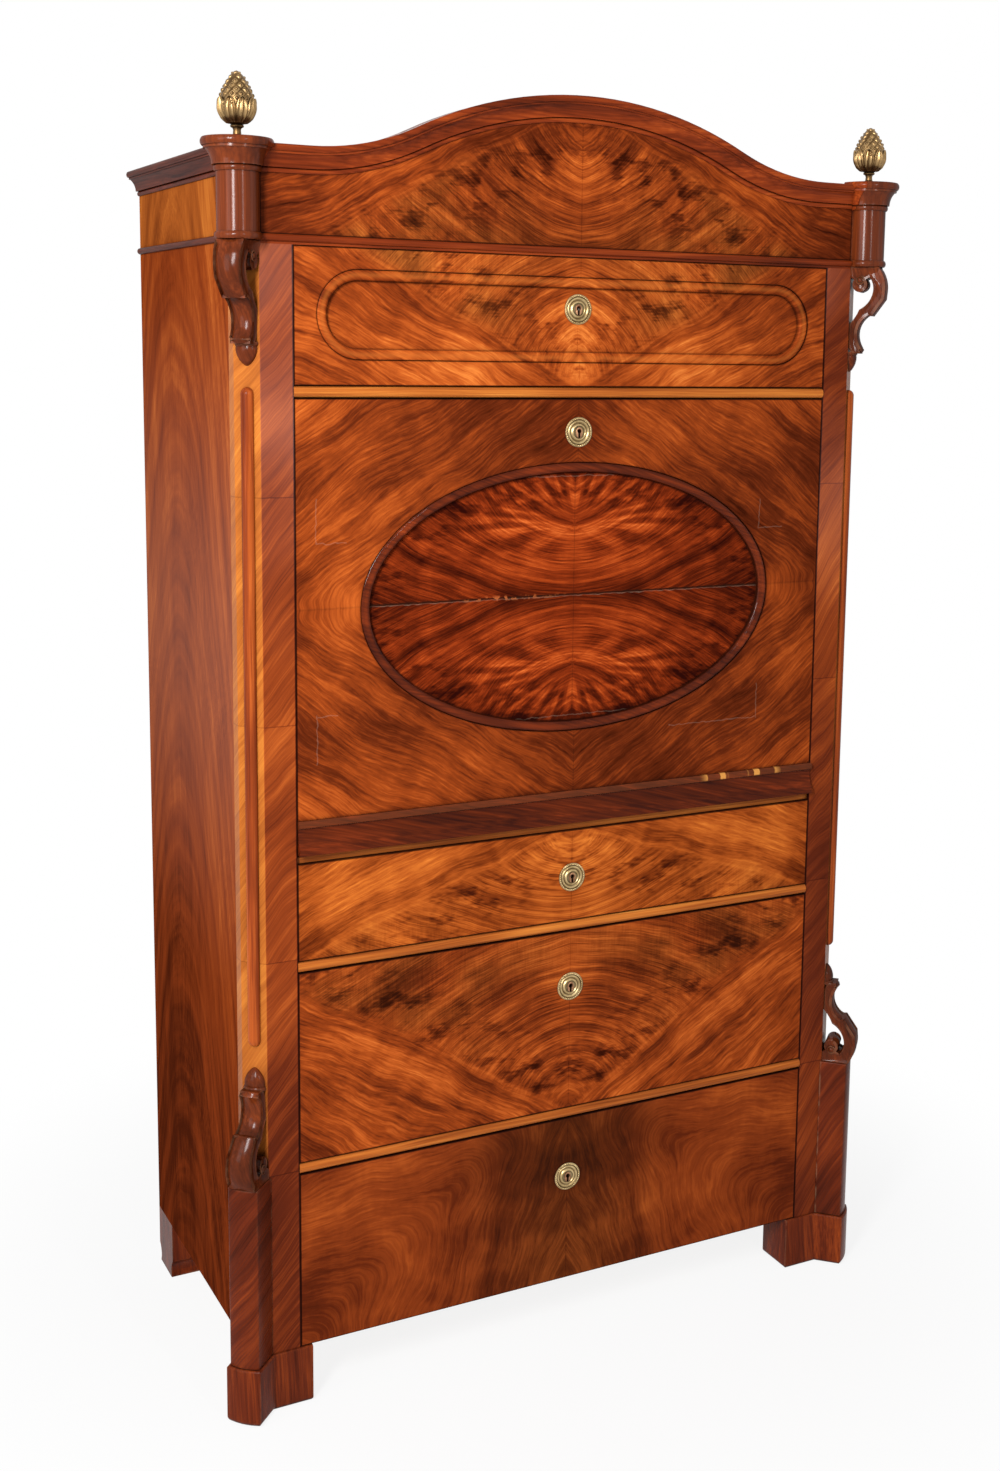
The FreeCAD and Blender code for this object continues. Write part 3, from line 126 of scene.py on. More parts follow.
class Tree:
    """A node tree and the ways to fill it."""

    def __init__(self, tree: NodeTree) -> None:
        """Empty the tree."""
        self.nodes, self.links = tree.nodes, tree.links
        self.nodes.clear()

    def put(self, socket: NodeSocket, value: Union[Number, Paint]) -> None:
        """Link an input, or set its constant.

        Args:
            socket: the input.
            value: what goes in: a socket, a value of the tree, a number, a colour or a swatch.
        """
        if isinstance(value, (Value, Swatch)):
            value = value.socket if isinstance(value, Value) else value.value
        if isinstance(value, NodeSocket):
            self.links.new(value, socket)
        else:
            socket.default_value = (*value, 1.0) if isinstance(value, tuple) else value

    def node(self, kind: str, inputs: Optional[dict[Union[str, int], Any]] = None, **settings: Any) -> Node:
        """Add a node.

        Args:
            kind: the node's type, such as "Math".
            inputs: what goes into its inputs, by name or number.
            settings: its other settings.

        Returns:
            The node.
        """
        node = self.nodes.new(f"ShaderNode{kind}")
        for name, setting in settings.items():
            setattr(node, name, setting)
        for name, value in (inputs or {}).items():
            self.put(node.inputs[name], value)
        return node

    def value(self, kind: str, output: str, inputs: dict[Union[str, int], Any], **settings: Any) -> "Value":
        """One output of a new node, ready for arithmetic."""
        return Value(self, self.node(kind, inputs, **settings).outputs[output])

    def math(self, operation: str, *values: Number) -> "Value":
        """The result of one Math node."""
        return self.value("Math", "Value", dict(enumerate(values)), operation=operation)

    def noise(
        self, x: Number, y: Number, z: Number = 0.0, detail: float = 2.0, rough: float = 0.5
    ) -> "Value":
        """Fractal noise at a point given by three values already in noise cells.

        Args:
            x, y, z: the point.
            detail: octaves of finer noise.
            rough: strength of each finer octave.

        Returns:
            The noise, from 0 to 1 and about 0.5 on average.
        """
        point = self.node("CombineXYZ", {0: x, 1: y, 2: z}).outputs[0]
        inputs = {"Vector": point, "Scale": 1.0, "Detail": detail, "Roughness": rough}
        return self.value("TexNoise", "Fac", inputs)


class Value:
    """A number in a node tree, used in plain arithmetic."""

    def __init__(self, tree: Tree, socket: NodeSocket) -> None:
        """Hold the socket that gives the number."""
        self.tree, self.socket = tree, socket

    def __add__(self, other: Number) -> "Value":
        """The sum."""
        return self.tree.math("ADD", self, other)

    def __sub__(self, other: Number) -> "Value":
        """The difference."""
        return self.tree.math("SUBTRACT", self, other)

    def __rsub__(self, other: float) -> "Value":
        """A plain number less this one."""
        return self.tree.math("SUBTRACT", other, self)

    def __mul__(self, other: Number) -> "Value":
        """The product."""
        return self.tree.math("MULTIPLY", self, other)

    def __truediv__(self, other: Number) -> "Value":
        """The quotient."""
        return self.tree.math("DIVIDE", self, other)

    def __abs__(self) -> "Value":
        """The number without its sign."""
        return self.tree.math("ABSOLUTE", self)

    __radd__ = __add__
    __rmul__ = __mul__

    def most(self, *others: Number) -> "Value":
        """The greatest of this number and others."""
        return reduce(partial(self.tree.math, "MAXIMUM"), others, self)

    def hypot(self, other: Number) -> "Value":
        """The hypotenuse of this number and another."""
        return self.tree.math("SQRT", self * self + other * other)

    def step(self, low: float, high: float) -> "Value":
        """A smooth step from 0 at low to 1 at high."""
        span = {"Value": self, "From Min": low, "From Max": high}
        return self.tree.value("MapRange", "Result", span, interpolation_type="SMOOTHSTEP")

    def drop(self, low: float, high: float) -> "Value":
        """A smooth step from 1 at low to 0 at high."""
        return 1.0 - self.step(low, high)

    def hill(self, centre: float, width: float) -> "Value":
        """A smooth hill of height 1 over a centre, gone at width to each side."""
        return abs(self - centre).drop(0.0, width)


class Shader(Tree):
    """A material's node tree, with the place on the object as x, y and z."""

    def __init__(self, name: str) -> None:
        """Make a material with a principled surface.

        Args:
            name: the material's name.
        """
        self.material = bpy.data.materials.new(name)
        self.material.use_nodes = True
        super().__init__(self.material.node_tree)
        self.surface = self.node("BsdfPrincipled")
        self.node("OutputMaterial", {"Surface": self.surface.outputs["BSDF"]})
        self.place = self.node("TexCoord").outputs["Object"]
        self.x, self.y, self.z = (self.value("SeparateXYZ", axis, {0: self.place}) for axis in "XYZ")

    def mottle(self, scale: float, detail: float, rough: float = 0.5) -> Value:
        """Noise with as many cells per metre in every direction."""
        return self.noise(self.x * scale, self.y * scale, self.z * scale, detail, rough)

    def painted(self, name: str) -> Value:
        """A value painted on the mesh's corners, 0 where there is none."""
        return self.value("Attribute", "Fac", {}, attribute_name=name)

    def shelter(self, distance: float) -> Value:
        """How far a surface lies in a corner or groove, from 0 in the open to 1 deep inside."""
        return self.value("AmbientOcclusion", "AO", {"Distance": distance}, samples=4).drop(0.25, 0.88)

    def edges(self, distance: float) -> Value:
        """How near a surface lies to an outer corner, from 0 on the flat to 1 on the edge."""
        settings = {"samples": 4, "inside": True, "only_local": True}
        return self.value("AmbientOcclusion", "AO", {"Distance": distance}, **settings).drop(0.30, 0.92)

    def beyond(self, node: str) -> Value:
        """How far outside a CAD node's box a place lies as seen from the front, negative inside.

        Args:
            node: the CAD node.

        Returns:
            The distance in metres.
        """
        low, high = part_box(node)
        across = abs(self.x - (low.x + high.x) / 2) - (high.x - low.x) / 2
        return across.most(abs(self.z - (low.z + high.z) / 2) - (high.z - low.z) / 2)

    def ramp(self, value: Number, tone: Tone) -> NodeSocket:
        """A colour of a tone.

        Args:
            value: where on the tone's ramp.
            tone: the tone.

        Returns:
            The colour.
        """
        node = self.node("ValToRGB", {"Fac": value})
        elements = node.color_ramp.elements
        while len(elements) < len(tone.value):
            elements.new(1.0)
        for element, (place, colour) in zip(elements, tone.value):
            element.position = place
            element.color = (*colour, 1.0)
        return node.outputs["Color"]

    def mix(self, share: Number, first: Paint, second: Paint) -> NodeSocket:
        """Two colours blended by a share from 0 to 1."""
        inputs = {"Factor": share, MIX_FIRST: first, MIX_SECOND: second}
        return self.node("Mix", inputs, data_type="RGBA").outputs[MIX_RESULT]

    def relief(self, height: Number, distance: float, strength: float) -> None:
        """Raise the surface's shading by a height from 0 to 1, distance metres deep."""
        node = self.node("Bump", {"Height": height, "Distance": distance, "Strength": strength})
        self.put(self.surface.inputs["Normal"], node.outputs["Normal"])

    def finish(self, **sockets: Union[Number, Paint]) -> Material:
        """Set the surface's inputs.

        Args:
            sockets: their values by name, with underscores for spaces.

        Returns:
            The material.
        """
        for name, value in sockets.items():
            self.put(self.surface.inputs[name.replace("_", " ")], value)
        return self.material


@dataclass(frozen=True)
class Polish:
    """How a polished wood takes the light, darkens with painted shade and grime in its grooves and corners,
    and wears at its edges.
    """

    roughness: float = 0.30
    specular: float = 0.03
    coat: float = 0.0
    coat_roughness: float = 0.07
    shade_and_grime: float = 0.85
    groove: float = 0.009
    wear: float = 0.0
    edge_band: float = 0.0028

    def apply(self, shader: Shader, colour: NodeSocket, grain: Number) -> Material:
        """Finish a wood shader.

        Args:
            shader: the tree to finish.
            colour: the wood's colour.
            grain: relief of the open grain, from 0 to 1.

        Returns:
            The material.
        """
        shader.relief(grain, GRAIN_DEPTH, 0.35)
        # Painted shade and grime in grooves and corners, found by ambient occlusion.
        colour = shader.mix(shader.shelter(self.groove) * self.shade_and_grime, colour, Swatch.JOINT_GRIME_AND_SHADE)
        if self.wear:
            worn = shader.edges(self.edge_band) * shader.mottle(60.0, 2.0).step(0.36, 0.62) * self.wear
            colour = shader.mix(worn, colour, Swatch.RUBBED)
        return shader.finish(
            Base_Color=colour,
            Roughness=grain * -0.10 + (self.roughness + 0.05),
            Specular_IOR_Level=self.specular,
            Coat_Weight=self.coat,
            Coat_Roughness=self.coat_roughness,
        )


GLOSS = Polish(roughness=0.18, specular=0.06)
SATIN = Polish(roughness=0.40, specular=0.0, coat=0.20, coat_roughness=0.17, wear=0.10)
WORN = Polish(roughness=0.28, specular=0.05, wear=0.24)
MATT = Polish(roughness=0.55, specular=0.25, coat_roughness=0.2)
SILKY = Polish(roughness=0.34, specular=0.35, coat=0.10, coat_roughness=0.1)


class Axis(Enum):
    """Which way the plain grain runs."""

    X = "x"
    Y = "y"
    Z = "z"


@dataclass(frozen=True)
class StraightGrain:
    """Plain sawn wood: streaks along one axis, leaning by a slope, with drifting bands."""

    name: str
    tone: Tone
    along: Axis
    lean: float = 0.0
    fine: float = 300.0
    broad: float = 40.0
    drift: float = 0.010
    lift: float = 0.0
    contrast: float = 0.9
    polish: Polish = GLOSS

    def material(self) -> Material:
        """Make the finish.

        Returns:
            The material.
        """
        shader = Shader(self.name)
        x, y, z = shader.x, shader.y, shader.z
        run, across, third = {Axis.X: (x, z, y), Axis.Y: (y, z, x), Axis.Z: (z, x, y)}[self.along]
        wander = shader.mottle(3.0, 1.0) * (self.drift * 4)
        flow = run * self.lean + across + wander
        side = third + wander
        streak = shader.noise(flow * self.fine, run * 7.0, side * self.fine, 2.0, 0.6)
        band = shader.noise(flow * self.broad, run * 2.2, side * self.broad, 2.0)
        blend = streak * 0.42 + band * 0.48 + shader.mottle(5.0, 1.0) * 0.20
        tone = (blend - 0.55) * (1.9 * self.contrast) + (0.52 + self.lift) + self.shade(shader)
        colour = self.tint(shader, shader.ramp(tone, self.tone), tone)
        return self.polish.apply(shader, colour, streak)

    def shade(self, shader: Shader) -> Number:
        """What the place on the piece adds to the tone."""
        return 0.0

    def tint(self, shader: Shader, colour: NodeSocket, tone: Value) -> NodeSocket:
        """The colour as the place on the piece changes it."""
        return colour


@dataclass(frozen=True)
class SideVeneer(StraightGrain):
    """The carcass sides: honey-coloured in the frieze, with a painted sheen towards the front and painted
    shade near the floor.
    """

    frieze_z: float = 1.540
    heart_y: float = 0.085

    def shade(self, shader: Shader) -> Number:
        """Tall nested arches, with a painted sheen near the front edge and painted shade low down.

        Args:
            shader: the tree.

        Returns:
            What is added to the tone.
        """
        y, z = shader.y, shader.z
        away = y - self.heart_y
        arch = away * away * 10.0 + z + shader.noise(y * 9.0, z * 3.0, 2.0) * 0.10
        figure = shader.noise(arch * 15.0, y * 2.0, 5.0, 4.0, 0.62)
        # Painted sheen near the front edge, painted shade low down, and the arches' figure.
        return y.drop(-0.16, 0.02) * 0.10 - z.drop(0.15, 0.95) * 0.42 + (figure - 0.5) * 1.15

    def tint(self, shader: Shader, colour: NodeSocket, tone: Value) -> NodeSocket:
        """Honey-coloured in the frieze, and a painted sheen on the polish half-way up.

        Args:
            shader: the tree.
            colour: the wood's colour.
            tone: the place on its ramp.

        Returns:
            The colour.
        """
        # Painted sheen half-way up the side.
        colour = shader.mix(shader.z.hill(1.02, 0.50) * 0.055, colour, Swatch.SIDE_SHEEN)
        frieze = shader.z.step(self.frieze_z - 0.001, self.frieze_z + 0.001)
        return shader.mix(frieze * 0.62, colour, shader.ramp(tone - 0.30, Tone.HONEY))


@dataclass(frozen=True)
class BackBoards(StraightGrain):
    """Three upright boards with dark joints and a few knots."""

    knots: tuple[tuple[float, float, float], ...] = (
        (-0.310, 0.420, 0.013), (0.050, 0.950, 0.011), (0.270, 1.300, 0.014), (-0.070, 1.430, 0.009),
        (0.330, 0.260, 0.010),
    )

    def tint(self, shader: Shader, colour: NodeSocket, tone: Value) -> NodeSocket:
        """Dark joints, a different shade on the middle board, and brown knots.

        Args:
            shader: the tree.
            colour: the wood's colour.
            tone: the place on its ramp.

        Returns:
            The colour.
        """
        low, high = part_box("back_boards")
        third = (high.x - low.x) / 6
        middle = abs(shader.x)
        colour = shader.mix(middle.drop(third - 0.0005, third + 0.0005) * 0.22, colour, Swatch.MIDDLE_BOARD)
        first, *others = [
            (shader.x - knot_x).hypot((shader.z - knot_z) * 0.7).drop(0.6 * size, size)
            for knot_x, knot_z, size in self.knots
        ]
        colour = shader.mix(first.most(*others) * 0.8, colour, Swatch.KNOT)
        return shader.mix(middle.hill(third, 0.0016) * 0.9, colour, Swatch.BOARD_JOINT)


@dataclass(frozen=True)
class DovetailedPine(StraightGrain):
    """Drawer boxes: dovetails at both ends of the sides, pins of a darker wood between the tails."""

    half: float = 0.3985
    front_y: float = -0.187
    back_y: float = 0.211
    tail: float = 0.014
    pitch: float = 0.034

    def tint(self, shader: Shader, colour: NodeSocket, tone: Value) -> NodeSocket:
        """Draw the pins and the gauge lines on the outer faces.

        Args:
            shader: the tree.
            colour: the wood's colour.
            tone: the place on its ramp.

        Returns:
            The colour.
        """
        off = abs(shader.math("FRACT", shader.z / self.pitch) - 0.5)
        outer = abs(shader.x).step(self.half - 0.006, self.half - 0.005)
        for depth in (shader.y - self.front_y, self.back_y - shader.y):
            past = off - (depth * (-0.14 / self.tail) + 0.42)
            near = (outer - depth.step(self.tail - 0.0002, self.tail + 0.0002)).most(0.0)
            colour = shader.mix(past.step(-0.008, 0.008) * near * 0.75, colour, Swatch.PIN)
            gauge = depth.hill(self.tail, 0.0009) * outer
            colour = shader.mix((past.hill(0.0, 0.035) * near).most(gauge) * 0.6, colour, Swatch.GAUGE)
        return colour


@dataclass(frozen=True)
class SmallDrawerWood(StraightGrain):
    """The small drawers: pale fronts with dark turned knobs and a thin dark line round each front."""

    knob_y: float = -0.0375
    edge: float = 0.0045

    def tint(self, shader: Shader, colour: NodeSocket, tone: Value) -> NodeSocket:
        """Darken the knobs and string the fronts.

        Args:
            shader: the tree.
            colour: the wood's colour.
            tone: the place on its ramp.

        Returns:
            The colour.
        """
        first, *others = [shader.beyond(name).hill(-self.edge, 0.0011) for name in SMALL_DRAWERS]
        colour = shader.mix(first.most(*others) * 0.75, colour, Swatch.STRINGING)
        knob = shader.y.drop(self.knob_y - 0.0003, self.knob_y + 0.0003)
        return shader.mix(knob, colour, shader.ramp(tone - 0.15, Tone.DARK))


@dataclass(frozen=True)
class Rounded:
    """A ring moulding's outline, a stadium with round ends."""

    half_x: float
    half_z: float
    centre_z: float
    width: float = 0.014

    def depth(self, shader: Shader) -> Value:
        """Distance from the outer edge, negative inside."""
        end = (abs(shader.x) - (self.half_x - self.half_z)).most(0.0)
        return end.hypot(shader.z - self.centre_z) - self.half_z

    def lines(self, shader: Shader) -> tuple[Value, Value]:
        """Where shade and a highlight are painted on the ring.

        Args:
            shader: the tree.

        Returns:
            The painted shade along its edges, and the painted highlight along its crown.
        """
        depth = self.depth(shader)
        inner = depth.hill(-self.width - 0.0004, 0.0020)
        return depth.hill(0.0003, 0.0014).most(inner), depth.hill(-0.5 * self.width, 0.36 * self.width)


@dataclass(frozen=True)
class Oval(Rounded):
    """An elliptical ring."""

    def depth(self, shader: Shader) -> Value:
        """Distance from the ellipse to first order.

        Args:
            shader: the tree.

        Returns:
            The distance, negative inside.
        """
        up = shader.z - self.centre_z
        radius = (shader.x / self.half_x).hypot(up / self.half_z)
        steep = (shader.x / self.half_x**2).hypot(up / self.half_z**2)
        return radius * (radius - 1.0) / steep


STADIUM = Rounded(0.370, 0.0565, 1.4465)
FALL_OVAL = Oval(0.313, 0.185, 1.073)


@dataclass(frozen=True)
class FallMoulding(StraightGrain):
    """The fall's base moulding, chipped to pale wood along its top edge near the right end."""

    top_z: float = 0.804
    chips_x: float = 0.275
    chips_reach: float = 0.085

    def tint(self, shader: Shader, colour: NodeSocket, tone: Value) -> NodeSocket:
        """Pale chips near the right end and a painted highlight along the upper edge.

        Args:
            shader: the tree.
            colour: the wood's colour.
            tone: the place on its ramp.

        Returns:
            The colour.
        """
        # Painted highlight along the moulding's upper edge.
        edge_band = shader.z.step(self.top_z - 0.012, self.top_z - 0.009) * 0.12
        colour = shader.mix(edge_band, colour, Swatch.TOP_EDGE_HIGHLIGHT)
        flake = shader.noise(shader.x * 55.0, 0.0, 7.0, 1.0).step(0.52, 0.56)
        where = shader.x.hill(self.chips_x, self.chips_reach).step(0.05, 0.30)
        edge = shader.z.step(self.top_z - 0.010, self.top_z - 0.006)
        return shader.mix(flake * where * edge, colour, Swatch.CHIP)


@dataclass(frozen=True)
class RingWood(StraightGrain):
    """A ring moulding with painted shade along its edges and a painted highlight along its crown."""

    ring: Rounded = FALL_OVAL

    def tint(self, shader: Shader, colour: NodeSocket, tone: Value) -> NodeSocket:
        """Paint a highlight along the crown and shade along the edges.

        Args:
            shader: the tree.
            colour: the wood's colour.
            tone: the place on its ramp.

        Returns:
            The colour.
        """
        # Painted highlight along the crown and painted shade along the edges.
        dark, crown = self.ring.lines(shader)
        colour = shader.mix(crown, colour, shader.ramp(tone + 0.16, self.tone))
        return shader.mix(dark * 0.85, colour, Swatch.JOINT_GRIME_AND_SHADE)


class Sweep(Enum):
    """Which way a plume opens from its eye."""

    DOWN = 1.0
    UP = -1.0


class Layer(Enum):
    """Layers of a veneer's figure, by how far each one's noise lies from the veneer's seed."""

    WANDER = 0.0
    QUIVER = 1.3
    OUTER = 20.0
    INNER = 40.0
    HATCH = 50.0
    LICK = 55.0
    BLOT = 60.0
    BARB = 66.0
    VEIL = 75.0
    CLOUD = 80.0
    UNEVEN = 90.0


@dataclass(frozen=True, kw_only=True)
class FrontVeneer:
    """Book-matched figured veneer on one front."""

    name: str
    node: str
    shared: tuple[str, ...] = ()
    seed: float
    lift: float
    tone: Tone = Tone.FLAME
    olive: float = 0.70
    ring: Optional[Rounded] = None
    polish: Polish = Polish(specular=0.012)

    def close(self, shader: Shader, colour: NodeSocket, fine: Value) -> Material:
        """Add the dark joint round the front, painted shade along the ring's edges and a painted highlight
        on its crown, and finish.

        Args:
            shader: the tree.
            colour: the wood's colour.
            fine: relief of the grain.

        Returns:
            The material.
        """
        dark = shader.beyond(self.node).step(-0.0016, -0.0003) * 0.85
        if self.ring is not None:
            # Painted shade along the ring's edges and a painted highlight along its crown.
            line, crown = self.ring.lines(shader)
            colour = shader.mix(crown * 0.30, colour, Swatch.RING_HIGHLIGHT)
            dark = dark.most(line * 0.34)
        return self.polish.apply(shader, shader.mix(dark, colour, Swatch.JOINT_GRIME_AND_SHADE), fine)

    def layer(
        self, layer: Layer, first: Value, second: Value, detail: float = 2.0, rough: float = 0.5
    ) -> Value:
        """Noise of one layer of the figure, at a point in noise cells."""
        return first.tree.noise(first, second, self.seed + layer.value, detail, rough)

    def warp(self, first: Value, second: Value) -> Value:
        """How far the grain wanders, slowly and quickly together.

        Args:
            first, second: the place on the veneer.

        Returns:
            The distance in metres.
        """
        slow = self.layer(Layer.WANDER, first * 8.0, second * 8.0, 1.0)
        quick = self.layer(Layer.QUIVER, first * 28.0, second * 28.0)
        return (slow - 0.5) * 0.040 + (quick - 0.5) * 0.007

    def flow(
        self, layer: Layer, across: Value, along: Value, fine: float, broad: float
    ) -> tuple[Value, Value]:
        """Streaks of the figure.

        Args:
            layer: which streaks.
            across: distance across the grain in metres.
            along: distance along it.
            fine: fine streaks per metre.
            broad: strength of the broadest bands.

        Returns:
            The fine streak from 0 to 1, and the whole figure about 0.
        """
        noise, seed = across.tree.noise, self.seed + layer.value
        streak = noise(across * (fine * 0.85), along * 22.0, seed, 3.0, 0.7)
        bundle = noise(across * (fine * 0.34), along * 10.0, seed + 3.7)
        band = noise(across * (fine * 0.085), along * 5.0, seed + 9.1, 1.0, 0.4)
        ripple = noise(across * 16.0, along * 34.0, seed + 14.3)
        total = streak * 0.42 + bundle * 0.26 + band * broad + ripple * 0.16
        return streak, total - 0.5 * (0.84 + broad)


@dataclass(frozen=True, kw_only=True)
class FlameVeneer(FrontVeneer):
    """Crotch veneer: a plume of curved figure between straight raking streaks.

    Inside the chevron the figure runs in arcs about an eye on the centre line; outside it
    rakes along the chevron's edge; dark feathers lie where the two meet.
    """

    eye_z: float
    vertex_z: float
    sweep: Sweep
    slope: float
    stretch: float
    bend: float
    feather: float
    point: float = 0.18
    soft: float = 0.034
    glow: float = 0.20
    glow_reach: float = 0.10
    edge_dark: float = 0.10
    right_shade: float = 0.0

    def material(self) -> Material:
        """Make the finish.

        Returns:
            The material.
        """
        shader = Shader(self.name)
        x, z, sign = shader.x, shader.z, self.sweep.value
        mirrored = abs(x)
        rise = (z - self.eye_z) * sign
        warp = self.warp(mirrored, z)

        lean = 1.0 / math.hypot(1.0, self.slope)
        edge = (mirrored * self.slope - sign * (self.eye_z - self.vertex_z) - rise) * lean
        along = (rise * self.slope + mirrored) * lean
        fine_out, figure_out = self.flow(Layer.OUTER, edge + warp, along, 400.0, 0.34)

        spread = mirrored * self.stretch
        radius = spread.hypot(rise.hypot(self.soft))
        arc = rise * self.bend + radius + warp * 0.8 + mirrored * self.point
        angle = shader.math("ARCTAN2", spread, rise + 0.012)
        fine_in, figure_in = self.flow(Layer.INNER, arc, angle * radius, 420.0, 0.24)
        far = radius.step(0.05, 0.22)
        hatch = self.layer(Layer.HATCH, mirrored * 330.0, z * 34.0)
        figure_in = figure_in * (far * -0.20 + 1.15) + (hatch - 0.5) * far * 0.10

        inside = (warp + edge).drop(-0.020, 0.014)
        outside = 1.0 - inside
        figure = figure_in * inside + figure_out * outside
        blot = self.layer(Layer.BLOT, mirrored * 24.0, z * 36.0, 2.0, 0.55)
        barb = self.layer(Layer.BARB, mirrored * 55.0, z * 270.0)
        uneven = self.layer(Layer.UNEVEN, x * 4.0, z * 4.0, 1.0)
        veil = self.layer(Layer.VEIL, mirrored * 9.0, z * 12.0, 1.0)
        cloud = self.layer(Layer.CLOUD, mirrored * 5.0, z * 6.0, 1.0)
        spots = (barb * 0.42 + blot).step(0.68, 0.96)
        feathers = edge.hill(-0.036, 0.072) * spots * (uneven * (1.2 * self.feather) + 0.4 * self.feather)
        ends = mirrored.step(0.30, 0.41) * self.edge_dark
        # Painted shade towards the right-hand end.
        right = x.step(0.08, 0.30) * self.right_shade
        tone = (
            figure * 2.1 + (0.52 + self.lift)
            + (cloud - 0.5) * 0.55
            + (uneven - 0.5) * 0.30
            + radius.drop(0.0, self.glow_reach) * inside * self.glow
            + (barb - 0.5) * inside * 0.10
            + edge.hill(0.001, 0.005) * 0.09
            - (feathers + ends + x.hill(0.0, SEAM) * 0.10 + right)
        )
        moss = inside * far * (barb * 0.25 + veil).step(0.42, 0.82) * self.olive
        colour = shader.mix(moss, shader.ramp(tone, self.tone), shader.ramp(tone, Tone.OLIVE))
        return self.close(shader, colour, fine_in * inside + fine_out * outside)


class Quarter(NamedTuple):
    """A place on the fall, folded into one of its four matched quarters."""

    mirrored: Value
    height: Value
    upper: Value
    warp: Value


@dataclass(frozen=True, kw_only=True)
class FallVeneer(FrontVeneer):
    """The fall: four matched quarters round an oval of two fans that meet along a split.

    A hairline is the centre and the half sizes of one fine pale scratch.
    """

    slope: float = 0.62
    bow: float = 0.028
    stretch: float = 0.60
    bend: float = 1.16
    point: float = 0.18
    soft: float = 0.034
    fan_height: float = 0.095
    oval_x: float = 0.299
    oval_z: float = 0.171
    oval_centre: float = 1.073
    hairlines: tuple[tuple[float, float, float, float], ...] = (
        (-0.372, 1.188, 0.0003, 0.028), (-0.352, 1.160, 0.020, 0.0003), (0.296, 1.180, 0.0003, 0.020),
        (0.316, 1.160, 0.020, 0.0003), (-0.372, 0.908, 0.0003, 0.032), (-0.358, 0.938, 0.014, 0.0003),
        (0.300, 0.906, 0.0003, 0.026), (0.226, 0.882, 0.074, 0.0003), (-0.010, 1.239, 0.070, 0.0003),
        (0.000, 0.909, 0.110, 0.0003),
    )

    def quarters(self, shader: Shader, at: Quarter) -> tuple[Value, NodeSocket]:
        """The field round the oval.

        Args:
            shader: the tree.
            at: the place.

        Returns:
            The fine streak and the colour.
        """
        lean = 1.0 / math.hypot(1.0, self.slope)
        across = (at.mirrored * self.slope + at.height.hypot(self.bow)) * lean + at.warp
        along = (at.height * self.slope - at.mirrored) * lean
        fine, figure = self.flow(Layer.OUTER, across, along, 430.0, 0.30)
        cloud = self.layer(Layer.CLOUD, shader.x * 4.0, shader.z * 4.0, 1.0)
        tone = (
            figure * 1.8 + (0.44 + self.lift)
            + (cloud - 0.5) * 0.62
            + across.step(0.33, 0.44) * 0.16
            - at.mirrored.hill(0.0, 0.14) * at.height.step(0.15, 0.27) * 0.18
            # Painted light: the upper quarters a little lighter, and painted shade towards the upper right.
            + at.upper * (shader.x.step(0.05, 0.35) * -0.08 + 0.03)
        )
        return fine, shader.ramp(tone, self.tone)

    def fans(self, shader: Shader, at: Quarter, rim: Value) -> tuple[Value, NodeSocket]:
        """The two fans inside the oval.

        Args:
            shader: the tree.
            at: the place.
            rim: the place from the oval's middle at 0 to its edge at 1.

        Returns:
            The fine streak and the colour.
        """
        rise = at.height - self.fan_height
        spread = at.mirrored * self.stretch
        radius = spread.hypot(rise.hypot(self.soft))
        arc = rise * -self.bend + radius + at.warp * 0.7 + at.mirrored * self.point
        angle = shader.math("ARCTAN2", spread, rise * -1.0)
        fine, figure = self.flow(Layer.INNER, arc, angle * radius, 430.0, 0.30)
        blot = self.layer(Layer.BLOT, at.mirrored * 18.0, at.height * 44.0, 2.0, 0.55)
        barb = self.layer(Layer.BARB, at.mirrored * 70.0, at.height * 300.0)
        lick = self.layer(Layer.LICK, angle * 4.5, radius * 13.0)
        outer = rim.step(0.60, 0.98)
        near = radius.drop(0.05, 0.17) * radius.step(0.030, 0.060)
        tone = (
            figure * 2.5 + 0.44
            + radius.drop(0.02, 0.13) * (at.upper * 0.07 + 0.17)
            + (lick.step(0.40, 0.66) - 0.45) * near * rise.step(-0.060, 0.010) * 0.44
            + (barb - 0.5) * 0.10
            - (barb * 0.4 + blot).step(0.66, 0.92) * outer * 0.36
            - at.height.hill(0.0, 0.045) * 0.12
            - at.mirrored.step(0.20, 0.30) * 0.02
            # Painted light on the oval's left side.
            + (shader.x * -1.0).step(0.12, 0.26) * 0.07
            - outer * 0.06
        )
        return fine, shader.ramp(tone, Tone.OVAL)

    def material(self) -> Material:
        """Make the finish, with the split, a painted highlight along its lip, its chips and the hairlines.

        Returns:
            The material.
        """
        shader = Shader(self.name)
        x, z = shader.x, shader.z
        above = z - MATCH_Z
        mirrored, height = abs(x), abs(above)
        at = Quarter(mirrored, height, above.step(-0.0005, 0.0005), self.warp(mirrored, height))
        rim = (x / self.oval_x).hypot((z - self.oval_centre) / self.oval_z)
        in_oval = rim.drop(0.995, 1.005)
        front = shader.y.drop(FACE_Y + 0.012, FACE_Y + 0.014)
        fine_out, field_wood = self.quarters(shader, at)
        fine_in, oval_wood = self.fans(shader, at, rim)
        wood = shader.mix(in_oval * front, field_wood, oval_wood)

        ragged = shader.noise(x * 90.0, z * 90.0, 4.0)
        line = (ragged - 0.5) * 0.0030 + above
        split = line.hill(0.0, 0.0024) * (in_oval * 0.80 + 0.20)
        wood = shader.mix(split.most(x.hill(0.0, 0.0010) * 0.35), wood, Swatch.SPLIT)
